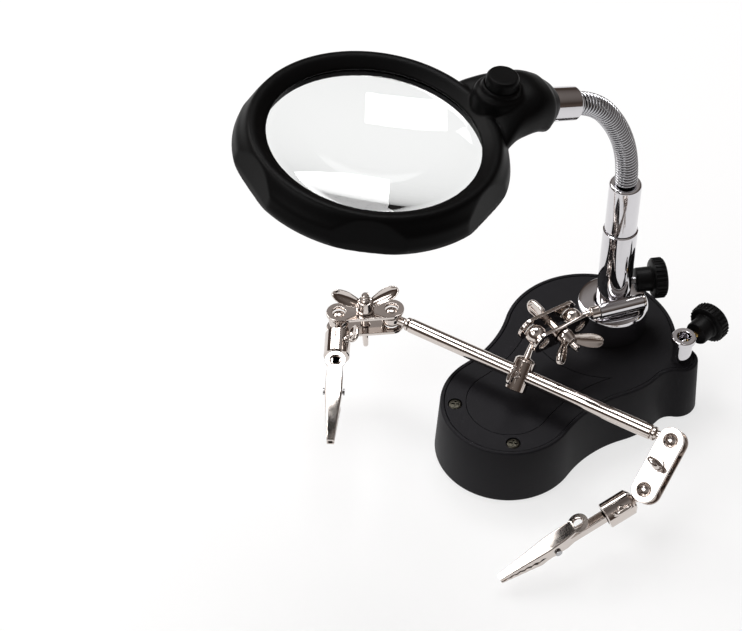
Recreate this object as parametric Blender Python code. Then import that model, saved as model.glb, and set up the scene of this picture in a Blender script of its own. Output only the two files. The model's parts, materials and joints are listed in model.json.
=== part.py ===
"""Helping-hands soldering stand: battery base, lit magnifier on a gooseneck, cross rod with two clips.

Metres, +Z up. The origin lies on the table, midway between the centres of the base's two round lobes.
The front lobe is at -Y and the rear lobe, which carries the post, at +Y.
"""

import math

import bmesh
import bpy
from mathutils import Matrix, Vector

# Clearances
SEAT_GAP = 0.0003
RUN_GAP = 0.0003

# Base
LOBE_SPACING = 0.0562
FRONT_LOBE_R = 0.0300
REAR_LOBE_R = 0.0389
WAIST_FILLET_R = 0.0540
EAR_X = 0.0391
EAR_Y = 0.0440
EAR_R = 0.0077
EAR_FILLET_R = 0.0096
BASE_HEIGHT = 0.0307
BASE_DRAFT = 0.0020
BASE_EDGE_ROUND = 0.0009
PAD_THICK = 0.0014
PAD_INSET = 0.0020
SHELL_FLOOR = 0.0022
SHELL_WALL = 0.0034
RIM_WALL = 0.0018
TOP_PLATE_THICK = 0.0024
TOP_PLATE_SINK = 0.0003

# Plate screws
PLATE_SCREW_X = 0.0166
PLATE_SCREW_Y = -0.0445
PLATE_SCREW_HEAD_R = 0.0029
PLATE_SCREW_HEAD_H = 0.0010
PLATE_SCREW_R = 0.0013
PLATE_SCREW_LENGTH = 0.0100
SCREW_BOSS_R = 0.0040
SCREW_SLOT = 0.0008

# Battery compartment
LID_INSET = 0.0115
LID_REAR_R = 0.0352
LID_THICK = 0.0012
CELL_R = 0.00525
CELL_LENGTH = 0.0445
CELL_TIP_R = 0.0019
CELL_TIP_LENGTH = 0.0009
CELL_GAP = 0.0004
CELL_FRONT_Y = -0.0364
CELL_DROP = 0.0006
CONTACT_THICK = 0.0005
TRAY_WALL = 0.0015
LID_LEDGE = 0.0014

# Ballast
BALLAST_R = 0.0260
BALLAST_THICK = 0.0065

# Post
POST_X = 0.0024
POST_Y = 0.0396
POST_R = 0.0076
POST_BORE_R = 0.0064
POST_TOP = 0.0900
POST_FOOT = 0.0190
COLLAR_R = 0.0160
COLLAR_HEIGHT = 0.0155
COLLAR_CHAMFER = 0.0026
POST_NUT_R = 0.0120
POST_NUT_THICK = 0.0060

# Side barrel on the post and the arm stub that turns in it
BARREL_Z = 0.0520
BARREL_HEADING = 61.6
BARREL_R = 0.0033
BARREL_BORE_R = 0.0020
BARREL_SINK = 0.0005
BARREL_FRONT = 0.0114
BARREL_REAR = 0.0089
STUB_REACH = 0.0130
STUB_COLLAR_LENGTH = 0.0040

# Thumb knobs
KNOB_R = 0.0091
KNOB_DISC_THICK = 0.0062
KNOB_NECK_R = 0.0055
KNOB_NECK_LENGTH = 0.0072
KNOB_FLUTES = 20
LOCK_SCREW_R = 0.0018
LOCK_SCREW_Z = 0.0566
LOCK_SCREW_HEADING = 51.5
LOCK_KNOB_CLEAR = 0.0016

# Soldering-iron socket
SOCKET_R = 0.0043
SOCKET_RIM_R = 0.0054
SOCKET_RIM_LENGTH = 0.0024
SOCKET_HEIGHT = 0.0142
SOCKET_BORE_R = 0.0030
SOCKET_BORE_DEPTH = 0.0120
SOCKET_SPIGOT_R = 0.0024
SOCKET_SPIGOT_LENGTH = 0.0050
SOCKET_SCREW_R = 0.0014
SOCKET_SCREW_DROP = 0.0062
SOCKET_SCREW_HEADING = 90.0
SOCKET_KNOB_CLEAR = 0.0052

# Gooseneck
FERRULE_R = 0.0070
FERRULE_LENGTH = 0.0260
FERRULE_STEM_R = 0.0058
FERRULE_STEM_LENGTH = 0.0420
NECK_WIRE_R = 0.00050
NECK_R = 0.0049
NECK_PITCH = 0.00206
NECK_STRAIGHT = 0.0010
NECK_LOWER_BEND_R = 0.0729
NECK_LOWER_BEND = 36.5
NECK_UPPER_BEND_R = 0.0324
NECK_UPPER_BEND = 34.5
NECK_HEADING = -109.0
CURL_POINTS = 8

# Head, whose ring lies flatter than the ferrule that carries it
HEAD_TILT = 11.8
HEAD_ROLL = -2.8
HEAD_RISE = 0.0083
HEAD_FERRULE_LENGTH = 0.0128
HEAD_SPIGOT_R = 0.0046
HEAD_SPIGOT_LENGTH = 0.0090
LENS_R = 0.0450
LENS_EDGE = 0.0033
LENS_CROWN = 0.0036
RING_LIP = 0.0035
RING_LIP_THICK = 0.0012
RING_CREST_OUT = 0.0025
RING_CREST_RISE = 0.0032
RING_WALL = 0.0090
RING_DEPTH = 0.0130
RING_FOOT_IN = 0.0040
SCALLOP_DEPTH = 0.0026
SCALLOP_COUNT = 6
SCALLOP_LEAN = 17.0
RETAINER_WALL = 0.0018
RETAINER_THICK = 0.0040
HANDLE_LENGTH = 0.0258
HANDLE_END_R = 0.0076
HANDLE_HALF_WIDTH = 0.0135
HANDLE_HALF_HEIGHT = 0.0104
HANDLE_SINK = 0.0004
HANDLE_ROOT_HALF_WIDTH = 0.0205
HANDLE_ROOT_SINK = 0.0035
BUTTON_FROM_RING = 0.0004
BUTTON_R = 0.0066
BUTTON_HEIGHT = 0.0074
BUTTON_PROUD = 0.0048
BUTTON_TRAVEL = 0.0015
BUTTON_BOSS_R = 0.0092
BUTTON_BOSS_TOP = 0.0115
SWITCH_R = 0.0054
SWITCH_HEIGHT = 0.0052
LED_R = 0.0024
LED_LENGTH = 0.0056
LED_DEPTH = 0.0046
LED_INTO_RING = 0.0015

# Double-ball clamps
BALL_R = 0.0046
BALL_SPACING = 0.0234
PLATE_HALF_GAP = 0.0039
PLATE_THICK = 0.0016
PLATE_END_R = 0.0056
CLAMP_SCREW_R = 0.0017
CLAMP_SCREW_TAIL = 0.0040
SPADE_LENGTH = 0.0072
SPADE_HALF_WIDTH = 0.0033
SPADE_THICK = 0.0022
CLAMP_COLLAR_R = 0.0030
CLAMP_COLLAR_LENGTH = 0.0010
NUT_HUB_R = 0.0040
NUT_HUB_LENGTH = 0.0056
WING_REACH = 0.0112
WING_RISE = 34.0
WING_TURN = 38.0
WING_SCOOP = 0.0009
WING_HALF_WIDTH = 0.0031
WING_THICK = 0.0017
BENT_NECK_R = 0.0012
NECK_ROOT_R = 0.0017

# Centre arm
CENTRE_HEADING = -94.8
CENTRE_PITCH = 13.4
CENTRE_ROLL = 8.0
ROD_HOLDER_R = 0.0048
ROD_HOLDER_LENGTH = 0.0150
ROD_HOLDER_REACH = 0.0184
ROD_HOLDER_TILT = 41.0

# Cross rod
ROD_HEADING = 11.05
ROD_R = 0.0033
ROD_LEFT = 0.0657
ROD_RIGHT = 0.0734
ROD_BALL_REACH = 0.0098
ROD_SPIGOT_R = 0.0015
ROD_SPIGOT_LENGTH = 0.0060
ROD_NECK_R = 0.0020

# Thumbscrews on the holders
THUMB_R = 0.0014
THUMB_SHANK = 0.0060
THUMB_TAB_HALF_WIDTH = 0.0044
THUMB_TAB_HALF_HEIGHT = 0.0029
THUMB_TAB_THICK = 0.0016

# Clip holders and clips
HOLDER_R = 0.0057
HOLDER_START = 0.0070
HOLDER_LENGTH = 0.0136
HOLDER_BORE_R = 0.0037
HOLDER_BORE_DEPTH = 0.0114
HOLDER_SCREW_FROM_MOUTH = 0.0066
CLIP_TAIL_DEPTH = 0.0110
CLIP_TAIL_HALF = 0.0021
CLIP_DROP = 0.0012
JAW_LENGTH = 0.0268
JAW_SHEET = 0.0007
JAW_HALF_WIDTH = 0.0037
JAW_TIP_HALF_WIDTH = 0.0016
JAW_HEIGHT = 0.0038
JAW_TIP_HEIGHT = 0.0016
TOOTH_COUNT = 6
TOOTH_DEPTH = 0.0009
PAD_REACH = 0.0132
PAD_R = 0.0045
PAD_HOLE_R = 0.0020
PAD_ROLL = 0.0008
PAD_RISE = 0.0058
PIN_R = 0.0009
PIN_HEAD_R = 0.0015
PIN_HEAD_LENGTH = 0.0007
SPRING_WIRE_R = 0.00026
SPRING_R = 0.00165
SPRING_CURLS = 2
SPRING_PITCH = 0.00095

# Each side: which way it leaves the holder, how its clamp is turned, where its clip points, and which plate
# its wing nut sits on
SIDES = {
    "left": {"way": -1, "roll": 0.0, "swing": 37.4, "heading": -49.7, "pitch": -5.0, "mouth": 0.0200,
             "screw_turn": 49.0, "nut": 1},
    "right": {"way": 1, "roll": 38.1, "swing": 94.2, "heading": -111.8, "pitch": -19.0, "mouth": 0.0249,
              "screw_turn": 50.0, "nut": -1},
}

ROUND_FINE = 24
ROUND = 16
ROUND_SMALL = 12
ROUND_ARM = 14
ROUND_LENS = 30
OUTLINE_STEP = math.radians(21)
UP = Vector((0, 0, 1))


# Frames and finishes

def heading(degrees, pitch=0.0):
    """Unit vector at a compass angle from +X, raised by a pitch."""
    turn = math.radians(degrees)
    rise = math.radians(pitch)
    return Vector((math.cos(turn) * math.cos(rise), math.sin(turn) * math.cos(rise), math.sin(rise)))


def axes(origin, z_axis, x_hint):
    """World matrix at an origin, with its Z along z_axis and its X as near x_hint as it can be."""
    z = Vector(z_axis).normalized()
    x = Vector(x_hint)
    x = (x - z * x.dot(z)).normalized()
    y = z.cross(x)
    turn = Matrix((x, y, z)).transposed().to_4x4()
    return Matrix.Translation(Vector(origin)) @ turn


class Frame:
    """A joint's empty together with its world matrix."""

    def __init__(self, name, matrix, parent=None):
        self.at = matrix.copy()
        self.empty = bpy.data.objects.new(name, None)
        self.empty.empty_display_size = 0.004
        bpy.context.scene.collection.objects.link(self.empty)
        if parent is not None:
            self.empty.parent = parent.empty
            self.empty.matrix_parent_inverse = parent.at.inverted()
        self.empty.matrix_basis = matrix


FINISHES = {
    "charcoal": ((0.045, 0.047, 0.050), 0.0, 0.55),
    "black": ((0.020, 0.020, 0.022), 0.0, 0.40),
    "chrome": ((0.80, 0.80, 0.82), 1.0, 0.12),
    "nickel": ((0.66, 0.63, 0.58), 1.0, 0.22),
    "brass": ((0.80, 0.60, 0.28), 1.0, 0.25),
    "steel": ((0.55, 0.55, 0.56), 1.0, 0.35),
    "rubber": ((0.030, 0.030, 0.030), 0.0, 0.80),
    "clear": ((0.90, 0.95, 0.95), 0.0, 0.05),
    "cell": ((0.12, 0.30, 0.45), 0.0, 0.40),
}


def finish_material(name):
    """The plain material of a finish, made once."""
    made = bpy.data.materials.get(name)
    if made is None:
        colour, metallic, roughness = FINISHES[name]
        made = bpy.data.materials.new(name)
        made.use_nodes = True
        shader = made.node_tree.nodes["Principled BSDF"]
        shader.inputs["Base Color"].default_value = (*colour, 1.0)
        shader.inputs["Metallic"].default_value = metallic
        shader.inputs["Roughness"].default_value = roughness
        made.diffuse_color = (*colour, 1.0)
    return made


def add(name, shape, frame, finish, at=None):
    """One named piece below a joint's empty, its mesh in the coordinates of a world matrix."""
    mesh = bpy.data.meshes.new(name)
    shape.to_mesh(mesh)
    shape.free()
    mesh.materials.append(finish_material(finish))
    piece = bpy.data.objects.new(name, mesh)
    bpy.context.scene.collection.objects.link(piece)
    piece.parent = frame.empty
    piece.matrix_parent_inverse = frame.at.inverted()
    piece.matrix_basis = frame.at if at is None else at
    return piece


# Shapes

def loft(rings, hoop=False):
    """Closed body through rings of equally many points; a hoop also joins its last ring to its first."""
    shape = bmesh.new()
    rows = [[shape.verts.new(point) for point in ring] for ring in rings]
    count = len(rows[0])
    pairs = list(zip(rows, rows[1:]))
    if hoop:
        pairs.append((rows[-1], rows[0]))
    for low, high in pairs:
        for k in range(count):
            n = (k + 1) % count
            shape.faces.new((low[k], low[n], high[n], high[k]))
    if not hoop:
        shape.faces.new(rows[0])
        shape.faces.new(rows[-1])
    bmesh.ops.recalc_face_normals(shape, faces=shape.faces)
    return shape


def turned(profile, sides=ROUND, flute=0.0):
    """Body of revolution about Z from (radius, z) points; a profile off the axis makes a tube."""
    shape = bmesh.new()
    widest = max(radius for radius, _ in profile)
    rows = []
    for radius, z in profile:
        if radius == 0.0:
            rows.append([shape.verts.new((0, 0, z))])
            continue
        row = []
        for k in range(sides):
            turn = 2 * math.pi * k / sides
            reach = radius - flute * (k % 2) if radius > 0.95 * widest else radius
            row.append(shape.verts.new((reach * math.cos(turn), reach * math.sin(turn), z)))
        rows.append(row)
    pairs = list(zip(rows, rows[1:]))
    if profile[0][0] > 0.0:
        pairs.append((rows[-1], rows[0]))
    for low, high in pairs:
        for k in range(sides):
            n = (k + 1) % sides
            if len(low) == 1:
                shape.faces.new((low[0], high[n], high[k]))
            elif len(high) == 1:
                shape.faces.new((low[k], low[n], high[0]))
            else:
                shape.faces.new((low[k], low[n], high[n], high[k]))
    bmesh.ops.recalc_face_normals(shape, faces=shape.faces)
    return shape


def cylinder(radius, z0, z1, sides=ROUND):
    return turned([(0.0, z0), (radius, z0), (radius, z1), (0.0, z1)], sides)


def prism(outline, z0, z1):
    """Straight-sided body between two heights."""
    return loft([[(x, y, z0) for x, y in outline], [(x, y, z1) for x, y in outline]])


def block(x0, x1, y0, y1, z0, z1):
    return prism([(x0, y0), (x1, y0), (x1, y1), (x0, y1)], z0, z1)


def stadium(x0, x1, radius, steps=6):
    """Outline with a round end about each of two points on the X axis."""
    points = []
    for middle, start in ((x1, -math.pi / 2), (x0, math.pi / 2)):
        for k in range(steps + 1):
            turn = start + math.pi * k / steps
            points.append((middle + radius * math.cos(turn), radius * math.sin(turn)))
    return points


def moved(shape, matrix):
    bmesh.ops.transform(shape, matrix=matrix, verts=shape.verts)
    return shape


def shifted(shape, x=0.0, y=0.0, z=0.0):
    return moved(shape, Matrix.Translation((x, y, z)))


def loose_object(shape):
    mesh = bpy.data.meshes.new("tool")
    shape.to_mesh(mesh)
    shape.free()
    item = bpy.data.objects.new("tool", mesh)
    bpy.context.scene.collection.objects.link(item)
    return item


def combine(body, tool, operation):
    """Exact Boolean of two bodies, as a new body."""
    item = loose_object(body)
    cutter = loose_object(tool)
    step = item.modifiers.new("combine", "BOOLEAN")
    step.object = cutter
    step.operation = operation
    step.solver = "EXACT"
    shape = bmesh.new()
    shape.from_object(item, bpy.context.evaluated_depsgraph_get())
    for spent in (item, cutter):
        mesh = spent.data
        bpy.data.objects.remove(spent)
        bpy.data.meshes.remove(mesh)
    bmesh.ops.remove_doubles(shape, verts=shape.verts, dist=1e-6)
    return shape


def cut(body, *tools):
    for tool in tools:
        body = combine(body, tool, "DIFFERENCE")
    return body


def join(body, *others):
    for other in others:
        body = combine(body, other, "UNION")
    return body


def swept(points, guides, radius, sides=6):
    """Round bar along points; each guide sets where its section starts."""
    rings = []
    last = len(points) - 1
    for i, point in enumerate(points):
        along = (points[min(i + 1, last)] - points[max(i - 1, 0)]).normalized()
        first = (guides[i] - along * guides[i].dot(along)).normalized()
        second = along.cross(first)
        ring = []
        for k in range(sides):
            turn = 2 * math.pi * k / sides
            ring.append(point + first * (radius * math.cos(turn)) + second * (radius * math.sin(turn)))
        rings.append(ring)
    return loft(rings)


def self_gap(points, radius, skip):
    """Smallest clear distance between stretches of one wire that are at least skip points apart."""
    least = min((a - b).length for i, a in enumerate(points) for b in points[i + skip:])
    return least - 2 * radius


def ball_end(neck_r, centre_z, steps=5):
    """Profile points of a ball met by a neck from below, up to its far pole."""
    start = math.asin(neck_r / BALL_R)
    points = []
    for k in range(steps):
        turn = start + (math.pi - start) * k / steps
        points.append((BALL_R * math.sin(turn), centre_z - BALL_R * math.cos(turn)))
    points.append((0.0, centre_z + BALL_R))
    return points


def ball_start(neck_r, steps=5):
    """Profile points of a ball at the origin, from its lower pole to where a neck leaves above."""
    return [(r, -z) for r, z in reversed(ball_end(neck_r, 0.0, steps))]


# Base outline: round lobes and an ear, joined by hollow fillets

FRONT_LOBE = Vector((0.0, -LOBE_SPACING / 2))
REAR_LOBE = Vector((0.0, LOBE_SPACING / 2))
EAR = Vector((EAR_X, EAR_Y))


def fillet_centre(a, ra, b, rb, rf):
    """Centre of a circle of radius rf that touches two circles, on the right of the way from a to b."""
    span = b - a
    d = span.length
    along = ((ra + rf) ** 2 - (rb + rf) ** 2 + d * d) / (2 * d)
    off = math.sqrt((ra + rf) ** 2 - along ** 2)
    unit = span / d
    return a + unit * along + Vector((unit.y, -unit.x)) * off


def arc(centre, radius, start, end, clockwise):
    """Points from one angle up to, but without, another."""
    sweep = (start - end) % (2 * math.pi) if clockwise else (end - start) % (2 * math.pi)
    steps = max(2, math.ceil(sweep / OUTLINE_STEP))
    sign = -1 if clockwise else 1
    turns = [start + sign * sweep * k / steps for k in range(steps)]
    return [(centre.x + radius * math.cos(t), centre.y + radius * math.sin(t)) for t in turns]


def base_outline(inset, ear=True):
    """The base's outline seen from above, counter-clockwise, moved inwards by an inset."""
    lobes = [(FRONT_LOBE, FRONT_LOBE_R), (REAR_LOBE, REAR_LOBE_R)]
    hollows = [WAIST_FILLET_R, WAIST_FILLET_R]
    if ear:
        lobes = [lobes[0], lobes[1], (EAR, EAR_R), lobes[1]]
        hollows = [WAIST_FILLET_R, EAR_FILLET_R, EAR_FILLET_R, WAIST_FILLET_R]
    count = len(lobes)
    centres = []
    for k in range(count):
        (a, ra), (b, rb) = lobes[k], lobes[(k + 1) % count]
        centres.append(fillet_centre(a, ra, b, rb, hollows[k]))

    def angle(origin, point):
        return math.atan2(point.y - origin.y, point.x - origin.x)

    points = []
    for k in range(count):
        middle, radius = lobes[k]
        came, goes = centres[k - 1], centres[k]
        following = lobes[(k + 1) % count][0]
        points += arc(middle, radius - inset, angle(middle, came), angle(middle, goes), False)
        points += arc(goes, hollows[k] + inset, angle(goes, middle), angle(goes, following), True)
    return points


def at_height(points, z):
    return [(x, y, z) for x, y in points]


for item in list(bpy.data.objects):
    bpy.data.objects.remove(item)

base = Frame("base", Matrix.Identity(4))

# Base shell, foot pad and top plate
SHELL_LOW = PAD_THICK + SEAT_GAP
SHELL_FLOOR_TOP = SHELL_LOW + SHELL_FLOOR
PLATE_TOP = BASE_HEIGHT - TOP_PLATE_SINK
PLATE_LOW = PLATE_TOP - TOP_PLATE_THICK
LEDGE = PLATE_LOW - SEAT_GAP

add("foot_pad", prism(base_outline(PAD_INSET - BASE_DRAFT), 0.0, PAD_THICK), base, "rubber")

shell_rows = [
    (BASE_EDGE_ROUND / 2 - BASE_DRAFT, SHELL_LOW),
    (-BASE_DRAFT, SHELL_LOW + BASE_EDGE_ROUND / 2),
    (0.0, BASE_HEIGHT - BASE_EDGE_ROUND),
    (0.3 * BASE_EDGE_ROUND, BASE_HEIGHT - 0.3 * BASE_EDGE_ROUND),
    (BASE_EDGE_ROUND, BASE_HEIGHT),
    (RIM_WALL, BASE_HEIGHT),
    (RIM_WALL, LEDGE),
    (SHELL_WALL, LEDGE),
    (SHELL_WALL, SHELL_FLOOR_TOP),
]
shell = loft([at_height(base_outline(inset), z) for inset, z in shell_rows])
SCREW_BORE_R = PLATE_SCREW_R + SEAT_GAP
SCREW_HEAD_LOW = PLATE_TOP - PLATE_SCREW_HEAD_H
SCREW_END = SCREW_HEAD_LOW - PLATE_SCREW_LENGTH
for side in (-1, 1):
    boss = cylinder(SCREW_BOSS_R, SHELL_FLOOR_TOP - 0.001, LEDGE - SEAT_GAP, ROUND_SMALL)
    hole = cylinder(SCREW_BORE_R, SCREW_END - SEAT_GAP, LEDGE + 0.001, ROUND_SMALL)
    spot = {"x": side * PLATE_SCREW_X, "y": PLATE_SCREW_Y}
    shell = cut(join(shell, shifted(boss, **spot)), shifted(hole, **spot))
add("base_shell", shell, base, "charcoal")

CELL_PITCH = 2 * CELL_R + CELL_GAP
CELL_REAR_Y = CELL_FRONT_Y + CELL_LENGTH
CELL_Z = PLATE_LOW - CELL_DROP - CELL_R
TRAY_X = CELL_PITCH + CELL_R + SEAT_GAP
TRAY_FRONT_Y = CELL_FRONT_Y - CONTACT_THICK - 2 * SEAT_GAP
TRAY_REAR_Y = CELL_REAR_Y + CONTACT_THICK + 2 * SEAT_GAP
TRAY_FLOOR = CELL_Z - CELL_R - SEAT_GAP


def lid_block(inset, z0, z1):
    """The lid's outline between two heights; its rear edge is an arc about the rear of the base."""
    body = prism(base_outline(LID_INSET + inset, ear=False), z0, z1)
    return cut(body, shifted(cylinder(LID_REAR_R + inset, z0 - 0.01, z1 + 0.01, ROUND_FINE), y=POST_Y))


plate = prism(base_outline(RIM_WALL + SEAT_GAP), PLATE_LOW, PLATE_TOP)
tray = block(-TRAY_X - TRAY_WALL, TRAY_X + TRAY_WALL, TRAY_FRONT_Y - TRAY_WALL, TRAY_REAR_Y + TRAY_WALL,
             TRAY_FLOOR - TRAY_WALL, PLATE_LOW + 0.0006)
plate = join(plate, tray)
plate = cut(plate, block(-TRAY_X, TRAY_X, TRAY_FRONT_Y, TRAY_REAR_Y, TRAY_FLOOR, PLATE_LOW + 0.0003))
LID_LOW = PLATE_TOP - LID_THICK
plate = cut(plate, lid_block(LID_LEDGE, PLATE_LOW - 0.0003, PLATE_TOP + 0.001))
plate = cut(plate, lid_block(-RUN_GAP, LID_LOW - SEAT_GAP, PLATE_TOP + 0.001))
post_hole = cylinder(POST_R + SEAT_GAP, PLATE_LOW - 0.001, PLATE_TOP + 0.001, ROUND)
socket_hole = cylinder(SOCKET_SPIGOT_R + SEAT_GAP, PLATE_LOW - 0.001, PLATE_TOP + 0.001, ROUND_SMALL)
plate = cut(plate, shifted(post_hole, x=POST_X, y=POST_Y), shifted(socket_hole, x=EAR_X, y=EAR_Y))
for side in (-1, 1):
    sink = cylinder(PLATE_SCREW_HEAD_R + SEAT_GAP, SCREW_HEAD_LOW - SEAT_GAP, PLATE_TOP + 0.001, ROUND)
    hole = cylinder(SCREW_BORE_R, PLATE_LOW - 0.001, PLATE_TOP + 0.001, ROUND_SMALL)
    spot = {"x": side * PLATE_SCREW_X, "y": PLATE_SCREW_Y}
    plate = cut(plate, shifted(sink, **spot), shifted(hole, **spot))
add("base_top_plate", plate, base, "charcoal")

for number, side in ((1, -1), (2, 1)):
    at = Frame("plate_screw_%d_seat" % number,
               Matrix.Translation((side * PLATE_SCREW_X, PLATE_SCREW_Y, SCREW_HEAD_LOW)), base)
    screw = turned([
        (0.0, -PLATE_SCREW_LENGTH),
        (PLATE_SCREW_R * 0.6, -PLATE_SCREW_LENGTH),
        (PLATE_SCREW_R, -PLATE_SCREW_LENGTH + 0.001),
        (PLATE_SCREW_R, 0.0),
        (PLATE_SCREW_HEAD_R, 0.0),
        (PLATE_SCREW_HEAD_R, PLATE_SCREW_HEAD_H * 0.6),
        (PLATE_SCREW_HEAD_R * 0.8, PLATE_SCREW_HEAD_H),
        (0.0, PLATE_SCREW_HEAD_H * 1.15),
    ], ROUND_SMALL)
    reach = PLATE_SCREW_HEAD_R * 0.62
    half = SCREW_SLOT / 2
    deep = PLATE_SCREW_HEAD_H * 0.45
    screw = cut(screw, block(-reach, reach, -half, half, deep, 0.004),
                block(-half, half, -reach, reach, deep, 0.004))
    add("plate_screw_%d" % number, screw, at, "steel")

lid_lift = Frame("lid_lift", Matrix.Translation((0.0, FRONT_LOBE.y, LID_LOW)), base)
add("battery_lid", lid_block(0.0, LID_LOW, PLATE_TOP), lid_lift, "charcoal", Matrix.Identity(4))

for number in (1, 2, 3):
    flip = number == 2
    body_end = CELL_LENGTH - CELL_TIP_LENGTH
    cell = turned([
        (0.0, 0.0),
        (CELL_R * 0.9, 0.0),
        (CELL_R, 0.0005),
        (CELL_R, body_end - 0.0005),
        (CELL_R * 0.9, body_end),
        (CELL_TIP_R, body_end),
        (CELL_TIP_R, CELL_LENGTH),
        (0.0, CELL_LENGTH),
    ], ROUND_SMALL)
    start = Vector(((number - 2) * CELL_PITCH, CELL_REAR_Y if flip else CELL_FRONT_Y, CELL_Z))
    seat = Frame("battery_%d_seat" % number, axes(start, (0, -1 if flip else 1, 0), UP), base)
    add("battery_%d" % number, cell, seat, "cell")

for word, low in (("front", TRAY_FRONT_Y + SEAT_GAP), ("rear", CELL_REAR_Y + SEAT_GAP)):
    strip = block(-TRAY_X + SEAT_GAP, TRAY_X - SEAT_GAP, low, low + CONTACT_THICK,
                  TRAY_FLOOR + SEAT_GAP, PLATE_LOW - SEAT_GAP)
    add("battery_contact_" + word, strip, base, "nickel")

ballast = Frame("ballast_seat", Matrix.Translation((0.0, REAR_LOBE.y, SHELL_FLOOR_TOP + SEAT_GAP)), base)
add("ballast_weight", turned([
    (0.0, 0.0),
    (BALLAST_R - 0.0006, 0.0),
    (BALLAST_R, 0.0006),
    (BALLAST_R, BALLAST_THICK - 0.0006),
    (BALLAST_R - 0.0006, BALLAST_THICK),
    (0.0, BALLAST_THICK),
], ROUND), ballast, "steel")

# Post with its collar, nut and side barrel
post = Frame("post", Matrix.Translation((POST_X, POST_Y, 0.0)), base)
POST_HOLE_R = POST_R + SEAT_GAP
COLLAR_LOW = PLATE_TOP + SEAT_GAP
COLLAR_TOP = COLLAR_LOW + COLLAR_HEIGHT
add("post_collar", turned([
    (POST_HOLE_R, COLLAR_LOW),
    (COLLAR_R, COLLAR_LOW),
    (COLLAR_R, COLLAR_TOP - COLLAR_CHAMFER),
    (COLLAR_R - 0.35 * COLLAR_CHAMFER, COLLAR_TOP - 0.35 * COLLAR_CHAMFER),
    (COLLAR_R - COLLAR_CHAMFER, COLLAR_TOP),
    (POST_HOLE_R + 0.0006, COLLAR_TOP),
    (POST_HOLE_R, COLLAR_TOP - 0.0006),
], ROUND_FINE), post, "chrome")

NUT_TOP = PLATE_LOW - SEAT_GAP
nut = cut(cylinder(POST_NUT_R, NUT_TOP - POST_NUT_THICK, NUT_TOP, 6),
          cylinder(POST_HOLE_R, NUT_TOP - 0.02, NUT_TOP + 0.01, ROUND))
add("post_nut", nut, post, "steel")

barrel_way = heading(BARREL_HEADING)
barrel_side = heading(BARREL_HEADING - 90)
BARREL_OFFSET = POST_R + BARREL_R - BARREL_SINK
barrel_middle = barrel_side * BARREL_OFFSET + UP * BARREL_Z
barrel_at = axes(barrel_middle, -barrel_way, UP)
tube = turned([
    (POST_BORE_R, POST_FOOT),
    (POST_R, POST_FOOT),
    (POST_R, POST_TOP - 0.0005),
    (POST_R - 0.0005, POST_TOP),
    (POST_BORE_R, POST_TOP),
], ROUND)
barrel = turned([
    (0.0, -BARREL_REAR),
    (BARREL_R, -BARREL_REAR),
    (BARREL_R, BARREL_FRONT),
    (0.0, BARREL_FRONT),
], ROUND_ARM)
LUG_HALF = 0.0055
LUG_RISE = 0.0025
lug = block(POST_BORE_R + 0.0003, POST_R + 0.0016, -LUG_HALF, LUG_HALF, BARREL_Z - LUG_RISE, BARREL_Z + LUG_RISE)
lug = moved(lug, axes((0, 0, 0), UP, barrel_side))
tube = join(tube, moved(barrel, barrel_at), lug)
tube = cut(tube, moved(cylinder(BARREL_BORE_R, -0.03, 0.03, ROUND_ARM), barrel_at))
lock_way = heading(LOCK_SCREW_HEADING)
lock_at = axes((0, 0, LOCK_SCREW_Z), lock_way, UP)
tube = cut(tube, moved(cylinder(LOCK_SCREW_R + RUN_GAP, 0.004, 0.012, ROUND_SMALL), lock_at))
add("post_tube", tube, post, "chrome")

# Thumb knobs on screws: the screw slides along its axis and carries the knob, which turns on it
SCREW_GRIP = 0.0085


def lock_screw(radius, start, end):
    return turned([
        (0.0, start),
        (radius * 0.7, start),
        (radius, start + radius * 0.4),
        (radius, end),
        (0.0, end),
    ], ROUND_SMALL)


def knob(bore_r):
    """Neck and fluted disc; its own Z points away from the work, from the face of its neck."""
    top = KNOB_NECK_LENGTH + KNOB_DISC_THICK
    return turned([
        (0.0, SCREW_GRIP + SEAT_GAP),
        (bore_r, SCREW_GRIP + SEAT_GAP),
        (bore_r, 0.0),
        (KNOB_NECK_R - 0.0004, 0.0),
        (KNOB_NECK_R, 0.0004),
        (KNOB_NECK_R, KNOB_NECK_LENGTH),
        (KNOB_R - 0.0012, KNOB_NECK_LENGTH),
        (KNOB_R, KNOB_NECK_LENGTH + 0.0010),
        (KNOB_R, top - 0.0010),
        (KNOB_R - 0.0012, top),
        (KNOB_R * 0.6, top - 0.0002),
        (KNOB_R * 0.5, top - 0.0008),
        (0.0, top - 0.0008),
    ], KNOB_FLUTES, 0.0004)


LOCK_KNOB_START = POST_R + LOCK_KNOB_CLEAR
post_lock_at = post.at @ lock_at
post_lock_slide = Frame("post_lock_slide", post_lock_at, post)
post_lock_turn = Frame("post_lock", post_lock_at @ Matrix.Translation((0, 0, LOCK_KNOB_START)), post_lock_slide)
add("post_lock_screw", lock_screw(LOCK_SCREW_R, FERRULE_STEM_R + SEAT_GAP, LOCK_KNOB_START + SCREW_GRIP),
    post_lock_slide, "steel")
add("post_lock_knob", knob(LOCK_SCREW_R + SEAT_GAP), post_lock_turn, "black")

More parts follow.
